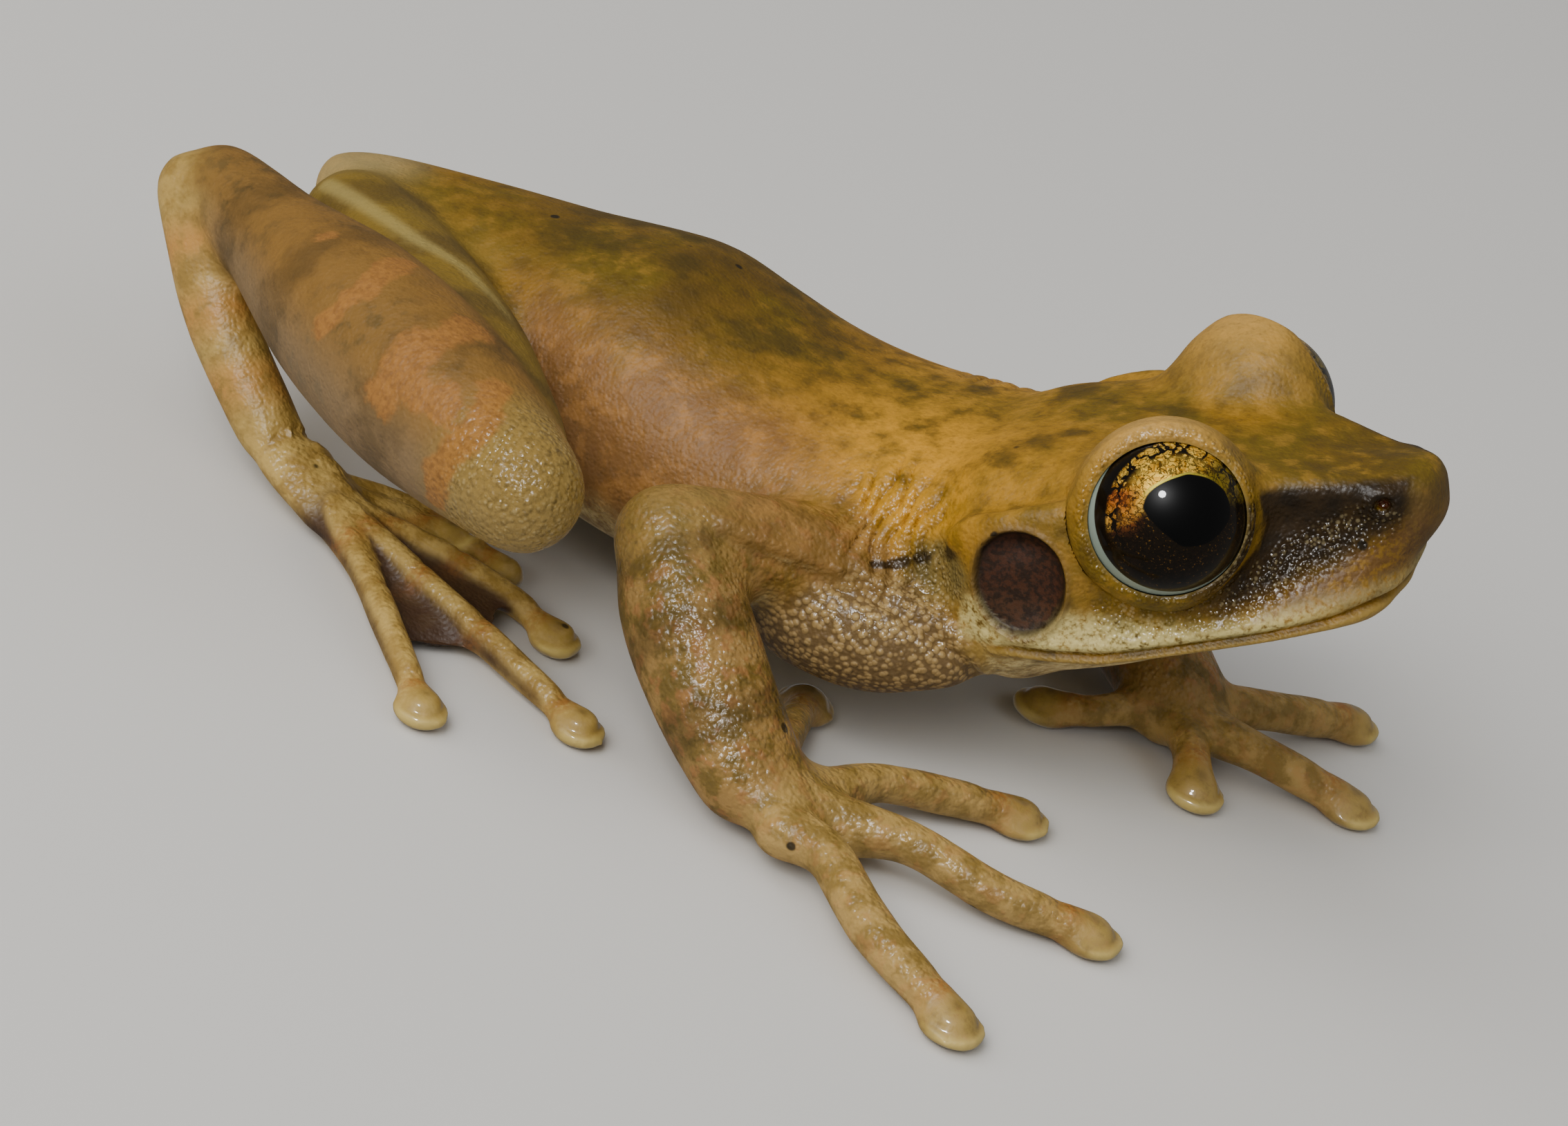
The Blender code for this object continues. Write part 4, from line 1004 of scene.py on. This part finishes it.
def make_eye(name, sign):
    """An eyeball whose poles lie on the way it looks, marked with where each point lies on it."""
    gaze = head_direction(GAZE[0], sign * GAZE[1], GAZE[2])
    ahead = (FORWARD - FORWARD.dot(gaze) * gaze).normalized()
    above = gaze.cross(ahead) * (1.0 if gaze.cross(ahead).dot(UPWARD) > 0 else -1.0)
    bpy.ops.object.select_all(action="DESELECT")
    bpy.ops.mesh.primitive_uv_sphere_add(segments=128, ring_count=64, radius=EYE_RADIUS * MM,
                                         location=at(eye_middle(sign)))
    eye = bpy.context.active_object
    eye.name = eye.data.name = name
    eye.rotation_mode = "QUATERNION"
    eye.rotation_quaternion = gaze.to_track_quat("Z", "Y")
    settle(eye)
    bpy.ops.object.shade_smooth()
    relative = read_points(eye.data) - np.array(eye_middle(sign))
    seen = np.stack([dots(relative, ahead), dots(relative, above), dots(relative, gaze)], axis=1)
    attribute = eye.data.attributes.new("gaze", "FLOAT_VECTOR", "POINT")
    attribute.data.foreach_set("vector", seen.astype(np.float32).ravel())
    eye.data.materials.append(eye_material(name))
    return eye


# ---- the stage, the lights and the camera ----


def make_floor():
    bpy.ops.object.select_all(action="DESELECT")
    bpy.ops.mesh.primitive_plane_add(size=FLOOR_SIZE, location=(0.0, 0.0, -FLOOR_DROP))
    floor = bpy.context.active_object
    floor.name = "floor"
    floor.data.materials.append(floor_material())
    floor.visible_glossy = False


def view_axes():
    """The way back to the camera, and the picture's right and up."""
    azimuth, elevation, roll = (math.radians(a) for a in (VIEW_AZIMUTH, VIEW_ELEVATION, VIEW_ROLL))
    back = Vector((math.sin(azimuth) * math.cos(elevation), -math.cos(azimuth) * math.cos(elevation),
                   math.sin(elevation)))
    level = Vector((math.cos(azimuth), math.sin(azimuth), 0.0))
    upright = back.cross(level)
    right = math.cos(roll) * level + math.sin(roll) * upright
    up = -math.sin(roll) * level + math.cos(roll) * upright
    return back, right, up


def make_camera():
    back, right, up = view_axes()
    data = bpy.data.cameras.new("camera")
    data.sensor_width = SENSOR_WIDTH
    data.lens = PHOTO_PIXELS_PER_MM * VIEW_DISTANCE * SENSOR_WIDTH / PHOTO_WIDTH
    data.clip_start, data.clip_end = 0.005, 20.0
    camera = bpy.data.objects.new("camera", data)
    bpy.context.collection.objects.link(camera)
    place = at(VIEW_TARGET) + back * VIEW_DISTANCE * MM
    turn = Matrix((right, up, back)).transposed()
    camera.matrix_world = Matrix.Translation(place) @ turn.to_4x4()
    bpy.context.scene.camera = camera


def round_light(name, direction, distance, size, watts, colour):
    """A round studio light that faces the frog from a direction given in camera right, up and back."""
    back, right, up = view_axes()
    way = (direction[0] * right + direction[1] * up + direction[2] * back).normalized()
    data = bpy.data.lights.new(name, "AREA")
    data.shape = "DISK"
    data.size = size
    data.energy = watts
    data.color = colour
    light = bpy.data.objects.new(name, data)
    bpy.context.collection.objects.link(light)
    light.location = at(VIEW_TARGET) + way * distance
    light.rotation_mode = "QUATERNION"
    light.rotation_quaternion = way.to_track_quat("Z", "Y")
    return light


def make_studio():
    world = bpy.data.worlds.new("studio")
    world.use_nodes = True
    room = world.node_tree.nodes["Background"]
    room.inputs["Color"].default_value = ROOM_COLOUR
    room.inputs["Strength"].default_value = ROOM_STRENGTH
    bpy.context.scene.world = world
    for row in SOFT_LIGHTS:
        round_light(*row).visible_glossy = False
    round_light(*GLINT_LIGHT).visible_diffuse = False


# ---- materials ----


def paint(red, green, blue):
    """A colour given as on a screen, from 0 to 255, as the light it stands for."""
    def light(level):
        level = level / 255.0
        return level / 12.92 if level <= 0.04045 else ((level + 0.055) / 1.055) ** 2.4
    return (light(red), light(green), light(blue), 1.0)


class Recipe:
    """Adds nodes to a material and joins them up."""

    def __init__(self, tree):
        self.tree = tree

    def add(self, kind, inputs=None, **settings):
        node = self.tree.nodes.new(kind)
        for name, value in settings.items():
            setattr(node, name, value)
        for key, value in (inputs or {}).items():
            self.feed(node.inputs[key], value)
        return node

    def feed(self, socket, value):
        """Joins an input to an output, or to the mark of that name, or sets it to a value."""
        if isinstance(value, str):
            value = self.mark(value)
        if isinstance(value, bpy.types.NodeSocket):
            self.tree.links.new(value, socket)
        else:
            socket.default_value = value

    def math(self, operation, first, second=0.0, third=0.0):
        return self.add("ShaderNodeMath", {0: first, 1: second, 2: third}, operation=operation).outputs[0]

    def mark(self, name):
        return self.add("ShaderNodeAttribute", attribute_name=name).outputs["Fac"]

    def millimetres(self):
        """The place on the object, in millimetres."""
        where = self.add("ShaderNodeTexCoord").outputs["Object"]
        return self.add("ShaderNodeMapping", {"Vector": where, "Scale": (1000.0, 1000.0, 1000.0)}).outputs[0]

    def noise(self, where, scale, detail, roughness=0.5, output="Fac"):
        inputs = {"Vector": where, "Scale": scale, "Detail": detail, "Roughness": roughness}
        return self.add("ShaderNodeTexNoise", inputs).outputs[output]

    def cells(self, where, scale, feature="F1", output="Distance", randomness=1.0):
        inputs = {"Vector": where, "Scale": scale, "Randomness": randomness}
        return self.add("ShaderNodeTexVoronoi", inputs, feature=feature).outputs[output]

    def ease(self, value, low, high, start=0.0, end=1.0):
        """A smooth way from start to end as the value goes from low to high."""
        inputs = {"Value": value, "From Min": low, "From Max": high, "To Min": start, "To Max": end}
        return self.add("ShaderNodeMapRange", inputs, interpolation_type="SMOOTHSTEP").outputs["Result"]

    def mix(self, share, first, second):
        """Two colours, each an output or three numbers as on a screen, mixed by a share."""
        first, second = (paint(*shade) if isinstance(shade, tuple) else shade for shade in (first, second))
        return self.add("ShaderNodeMix", {0: share, 6: first, 7: second}, data_type="RGBA").outputs[2]

    def layer(self, under, shade, *shares):
        """Puts a shade over another by the product of the shares."""
        share = shares[0]
        for other in shares[1:]:
            share = self.math("MULTIPLY", share, other)
        return self.mix(share, under, shade)


def new_material(name):
    material = bpy.data.materials.new(name)
    material.use_nodes = True
    return material, Recipe(material.node_tree), material.node_tree.nodes["Principled BSDF"]


def skin_material():
    """Golden olive brown skin with all its marks, and grains that glisten where it is damp, with painted
    highlights on their tops.
    """
    material, recipe, shader = new_material("moist frog skin")
    fade, calculate = recipe.ease, recipe.math
    where = recipe.millimetres()
    cloud = recipe.noise(where, 0.20, 3.0, 0.55)
    fine = recipe.noise(where, 0.9, 4.0, 0.62)
    dust = recipe.noise(where, 4.0, 2.0, 0.65)
    lumps = recipe.noise(where, 1.5, 2.0, 0.6)
    leather = recipe.noise(where, 7.0, 2.0, 0.65)
    bead = recipe.cells(where, BEADS_PER_MM, randomness=0.9)
    grain = recipe.cells(where, GRAINS_PER_MM, randomness=0.9)
    speck = recipe.cells(where, 0.30)
    shake = calculate("MULTIPLY_ADD", fine, 0.7, calculate("MULTIPLY", lumps, 0.3))
    dark_fleck, light_fleck = fade(fine, 0.50, 0.66), fade(fine, 0.50, 0.34)

    def patch(name, raggedness, softness):
        """A smooth mark with a torn edge."""
        field = calculate("MULTIPLY_ADD", calculate("SUBTRACT", shake, 0.5), raggedness, name)
        return fade(field, 0.5 - softness, 0.5 + softness)

    tan = recipe.mix(fade(fine, 0.62, 0.40), (152, 122, 60), (184, 154, 86))
    sleeve = recipe.mix(fade(fine, 0.60, 0.42), (106, 86, 38), (148, 116, 66))
    sleeve = recipe.layer(sleeve, (160, 104, 62), fade(lumps, 0.52, 0.64), 0.5)
    beads = recipe.mix(fade(bead, 0.62, 0.38), (106, 84, 52), (160, 132, 84))
    rusty = recipe.mix(fade(dust, 0.35, 0.70), (156, 106, 46), (132, 88, 38))
    cream = recipe.mix(fade(dust, 0.35, 0.68), (222, 202, 142), (178, 150, 92))
    mask = recipe.mix(fade(fine, 0.40, 0.62), (42, 28, 8), (27, 17, 4))
    ear = recipe.mix(fade(dust, 0.38, 0.62), (64, 30, 9), (34, 15, 4))
    colour = recipe.mix(fade(cloud, 0.38, 0.62), (138, 101, 12), (100, 80, 6))

    layers = [
        # The ground: dark freckles and light flecks, darker on the back, golden and warm further down
        ((74, 55, 4), dark_fleck, 0.55),
        ((170, 126, 44), light_fleck, 0.35),
        ((74, 56, 10), "back", fade(cloud, 0.70, 0.38), 0.85),
        ((204, 146, 36), "gold", fade(fine, 0.78, 0.35), 0.85),
        ((206, 162, 88), "brow", 0.65),
        ((132, 88, 42), "flank", fade(cloud, 0.30, 0.50), 0.75),
        ((180, 126, 58), "flank", light_fleck, 0.35),
        ((82, 62, 8), "snout", fade(fine, 0.25, 0.60), 0.85),
        ((84, 60, 20), fade(dust, 0.50, 0.72), 0.30),
        # The limbs, webs and pads
        ((124, 90, 40), "shank", 0.85),
        ((96, 74, 32), "shank", fade(cloud, 0.42, 0.62), dark_fleck),
        ((124, 106, 80), "shank_side", 0.6),
        ((168, 148, 100), "vent", 0.6),
        ((116, 94, 30), "thigh", 0.85),
        (tan, "digit"),
        (sleeve, "arm", 0.85),
        ((50, 28, 24), "web", 0.92),
        ((142, 118, 60), "knee", 0.75),
        ((62, 48, 18), "knee", fade(dust, 0.50, 0.68), 0.4),
        ((166, 138, 66), "pad", fade(dust, 0.85, 0.30), 0.85),
        # Partly the pads' own paler rims, partly a painted highlight on them
        ((206, 182, 104), "pad_edge", 0.7),
        ((150, 92, 36), "pad_root", fade(dust, 0.70, 0.40), 0.75),
        # Painted shade in the dimple of each pad
        ((96, 74, 30), "pad_dimple", 0.6),
        # The throat sac: pale beads with a grey brown net between them
        (beads, "sac", 0.95),
        ((124, 92, 40), "fold", 0.5),
        # Bars, blotches and the pale belly
        ((66, 50, 18), patch("bar", 1.5, 0.30), 0.5),
        (rusty, patch("rust", 1.3, 0.14), 0.85),
        ((184, 118, 48), "warm", fade(fine, 0.66, 0.40), 0.6),
        # Painted sheen along the edge of the thigh
        ((164, 146, 84), "thigh_line", 0.6),
        ((60, 48, 6), patch("blotch", 1.1, 0.35), 0.62),
        (cream, "belly", fade(fine, 0.80, 0.35), 0.95),
        # The side of the head
        ((104, 94, 56), "temple", 0.75),
        # Painted shade in the troughs of the folds behind the ears
        ((72, 46, 14), "crease", 0.6),
        ((90, 60, 22), "bronze", fade(dust, 0.70, 0.42), 0.85),
        ((80, 58, 30), "tip", 0.62),
        ((206, 190, 124), "pale", fade(dust, 0.74, 0.42), 0.95),
        ((150, 122, 56), "lip_under", 0.9),
        (mask, "lore", 0.97),
        ((34, 22, 8), patch("stripe", 0.5, 0.18), 0.88),
        (ear, "ear", 0.98),
        # Painted shade along the sunken edge of the ear disc
        ((22, 12, 4), "ear_edge", 0.8),
        # Painted highlight on the raised ring round the ear disc
        ((120, 92, 42), "ear_ring", 0.45),
        ((132, 112, 58), "inner_rim", 0.55),
        # Painted shade in the groove between the lips
        ((30, 18, 8), "mouth", 0.85),
        # Painted shade in the nostril pits
        ((74, 26, 12), "nostril", 0.9),
        # Small black specks
        ((20, 16, 6), fade(speck, 0.075, 0.05), 0.9),
    ]
    for shade, *shares in layers:
        colour = recipe.layer(colour, shade, *shares)

    # Domed grains over a fine leather, which glisten where the skin is damp, and a pale painted highlight on
    # the tops of the damp grains
    plain = calculate("SUBTRACT", 1.0, "smooth")
    grainy = calculate("MAXIMUM", "glint", calculate("MULTIPLY_ADD", "belly", 0.6, 0.30))
    small, large = fade(grain, 0.75, 0.05), fade(bead, 0.75, 0.05)
    beaded = calculate("MULTIPLY", calculate("MAXIMUM", "coarse", "sac"), 0.9)
    height = calculate("MULTIPLY", small, calculate("MULTIPLY", calculate("MULTIPLY", grainy, plain), 0.85))
    height = calculate("MULTIPLY_ADD", large, beaded, height)
    height = calculate("MULTIPLY_ADD", calculate("MULTIPLY", lumps, plain), 1.6, height)
    height = calculate("MULTIPLY_ADD", leather, 0.30, height)
    bump = recipe.add("ShaderNodeBump", {"Height": height, "Strength": 1.0, "Distance": BUMP_HEIGHT})
    damp = calculate("MAXIMUM", "glint", "coarse")
    damp = calculate("MULTIPLY", damp, fade(shake, 0.70, 0.40, 0.35, 1.0))
    # Painted highlight: the tops of the damp grains are coloured pale, standing in for the glints of wet skin
    painted_glint_tops = calculate("MULTIPLY", calculate("MAXIMUM", small, large), damp)
    colour = recipe.layer(colour, (214, 196, 146), fade(painted_glint_tops, 0.45, 1.0), 0.22)
    recipe.feed(shader.inputs["Base Color"], colour)
    recipe.feed(shader.inputs["Normal"], bump.outputs["Normal"])
    recipe.feed(shader.inputs["Roughness"], calculate("MULTIPLY_ADD", damp, -0.40, 0.58))
    recipe.feed(shader.inputs["Coat Weight"], calculate("MULTIPLY", "pad", 0.8))
    shader.inputs["Coat Roughness"].default_value = 0.12
    shader.inputs["Coat IOR"].default_value = 1.5
    shader.inputs["Specular IOR Level"].default_value = 0.38
    return material


def eye_material(name):
    """A golden iris netted with black, about a wide pupil, under a clear wet surface."""
    material, recipe, shader = new_material(name)
    fade, calculate = recipe.ease, recipe.math
    seen = recipe.add("ShaderNodeAttribute", attribute_name="gaze").outputs["Vector"]
    parts = recipe.add("ShaderNodeSeparateXYZ", {0: seen}).outputs
    ahead, above, out = parts["X"], parts["Y"], parts["Z"]
    fine = recipe.noise(seen, 3.0, 4.0, 0.65)
    shaken = recipe.noise(seen, 3.0, 3.0, output="Color")
    warp = recipe.add("ShaderNodeVectorMath", {0: shaken, 1: (0.55, 0.55, 0.55), 2: seen},
                      operation="MULTIPLY_ADD").outputs[0]
    # Plates of gold, each a little lighter or darker
    plate = recipe.cells(warp, 6.5, output="Color")
    plate = recipe.add("ShaderNodeSeparateColor", {0: plate}).outputs[0]
    gold = recipe.mix(plate, (250, 206, 84), (190, 132, 18))
    green = recipe.mix(plate, (140, 118, 22), (84, 66, 8))
    red = recipe.mix(plate, (176, 98, 34), (92, 42, 12))
    sparks = fade(recipe.noise(seen, 10.0, 2.0, 0.6), 0.60, 0.74)
    dark = recipe.mix(sparks, (22, 14, 5), (112, 78, 22))
    lean = calculate("MULTIPLY_ADD", ahead, -0.75, above)
    lean = calculate("MULTIPLY_ADD", fine, 0.8, lean)
    iris = recipe.mix(fade(above, 0.35, 1.25), dark, green)
    iris = recipe.mix(fade(lean, 1.1, 1.95), iris, gold)
    left = calculate("MULTIPLY", fade(ahead, -1.15, -2.0), fade(above, 1.1, 0.5))
    left = calculate("MULTIPLY", left, fade(above, -1.2, 0.3))
    iris = recipe.mix(left, iris, red)
    # Black cracks: wide ones near the rim, a fine net all over
    fine_net = fade(recipe.cells(warp, 4.2, "DISTANCE_TO_EDGE"), 0.10, 0.03)
    fine_net = calculate("MULTIPLY", fine_net, 0.85)
    wide_net = fade(recipe.cells(warp, 1.3, "DISTANCE_TO_EDGE"), 0.085, 0.055)
    wide_net = calculate("MULTIPLY", wide_net, fade(out, 2.5, 2.0))
    iris = recipe.mix(calculate("MAXIMUM", fine_net, wide_net), iris, (14, 9, 3))
    # Dark outer ring, wider behind, then the pale white of the eye
    behind = fade(calculate("MULTIPLY_ADD", above, -0.4, ahead), -0.6, -2.6)
    edge = calculate("MULTIPLY_ADD", behind, -0.45, out)
    iris = recipe.mix(fade(edge, 1.32, 1.18), iris, (12, 8, 4))
    iris = recipe.mix(fade(out, 1.09, 1.04), iris, (136, 152, 142))
    # The pupil: wide, with a blunt point behind, and a thin green-gold line round it
    along = calculate("SUBTRACT", ahead, PUPIL_PLACE[0])
    rise = calculate("SUBTRACT", above, PUPIL_PLACE[1])
    across = calculate("DIVIDE", calculate("ABSOLUTE", along), 1.60)
    height = calculate("DIVIDE", calculate("ABSOLUTE", rise), 1.28)
    blunt = fade(along, -0.5, 0.5, 1.25, 2.3)
    round_top = fade(rise, -0.5, 0.5, 1.45, 2.1)
    pupil = calculate("ADD", calculate("POWER", across, blunt), calculate("POWER", height, round_top))
    line = calculate("MULTIPLY", fade(pupil, 1.16, 1.08), fade(rise, 0.1, 0.8))
    line = calculate("MULTIPLY", line, fade(along, 1.2, -0.4))
    iris = recipe.mix(line, iris, (186, 172, 60))
    hole = fade(pupil, 1.03, 0.98)
    iris = recipe.mix(hole, iris, (1, 1, 1))
    recipe.feed(shader.inputs["Base Color"], iris)
    shine = calculate("MULTIPLY", fade(above, 0.0, 1.5), calculate("SUBTRACT", 1.0, hole))
    recipe.feed(shader.inputs["Metallic"], calculate("MULTIPLY", shine, 0.45))
    shader.inputs["Roughness"].default_value = 0.38
    shader.inputs["Specular IOR Level"].default_value = 0.1
    shader.inputs["Coat Weight"].default_value = 0.6
    shader.inputs["Coat Roughness"].default_value = 0.015
    shader.inputs["Coat IOR"].default_value = 1.36
    return material


def floor_material():
    material, _, shader = new_material("pale floor")
    shader.inputs["Base Color"].default_value = FLOOR_COLOUR
    shader.inputs["Roughness"].default_value = FLOOR_ROUGHNESS
    return material


def main():
    skin = make_skin()
    mark_skin(skin)
    skin.data.materials.clear()
    skin.data.materials.append(skin_material())
    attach(skin, "root")
    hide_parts(*FLESH)
    for side, sign in (("right", -1), ("left", 1)):
        eye = make_eye("eyeball_" + side, sign)
        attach(eye, "root")
        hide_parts("eye_" + side)
    make_floor()
    make_studio()
    make_camera()


main()
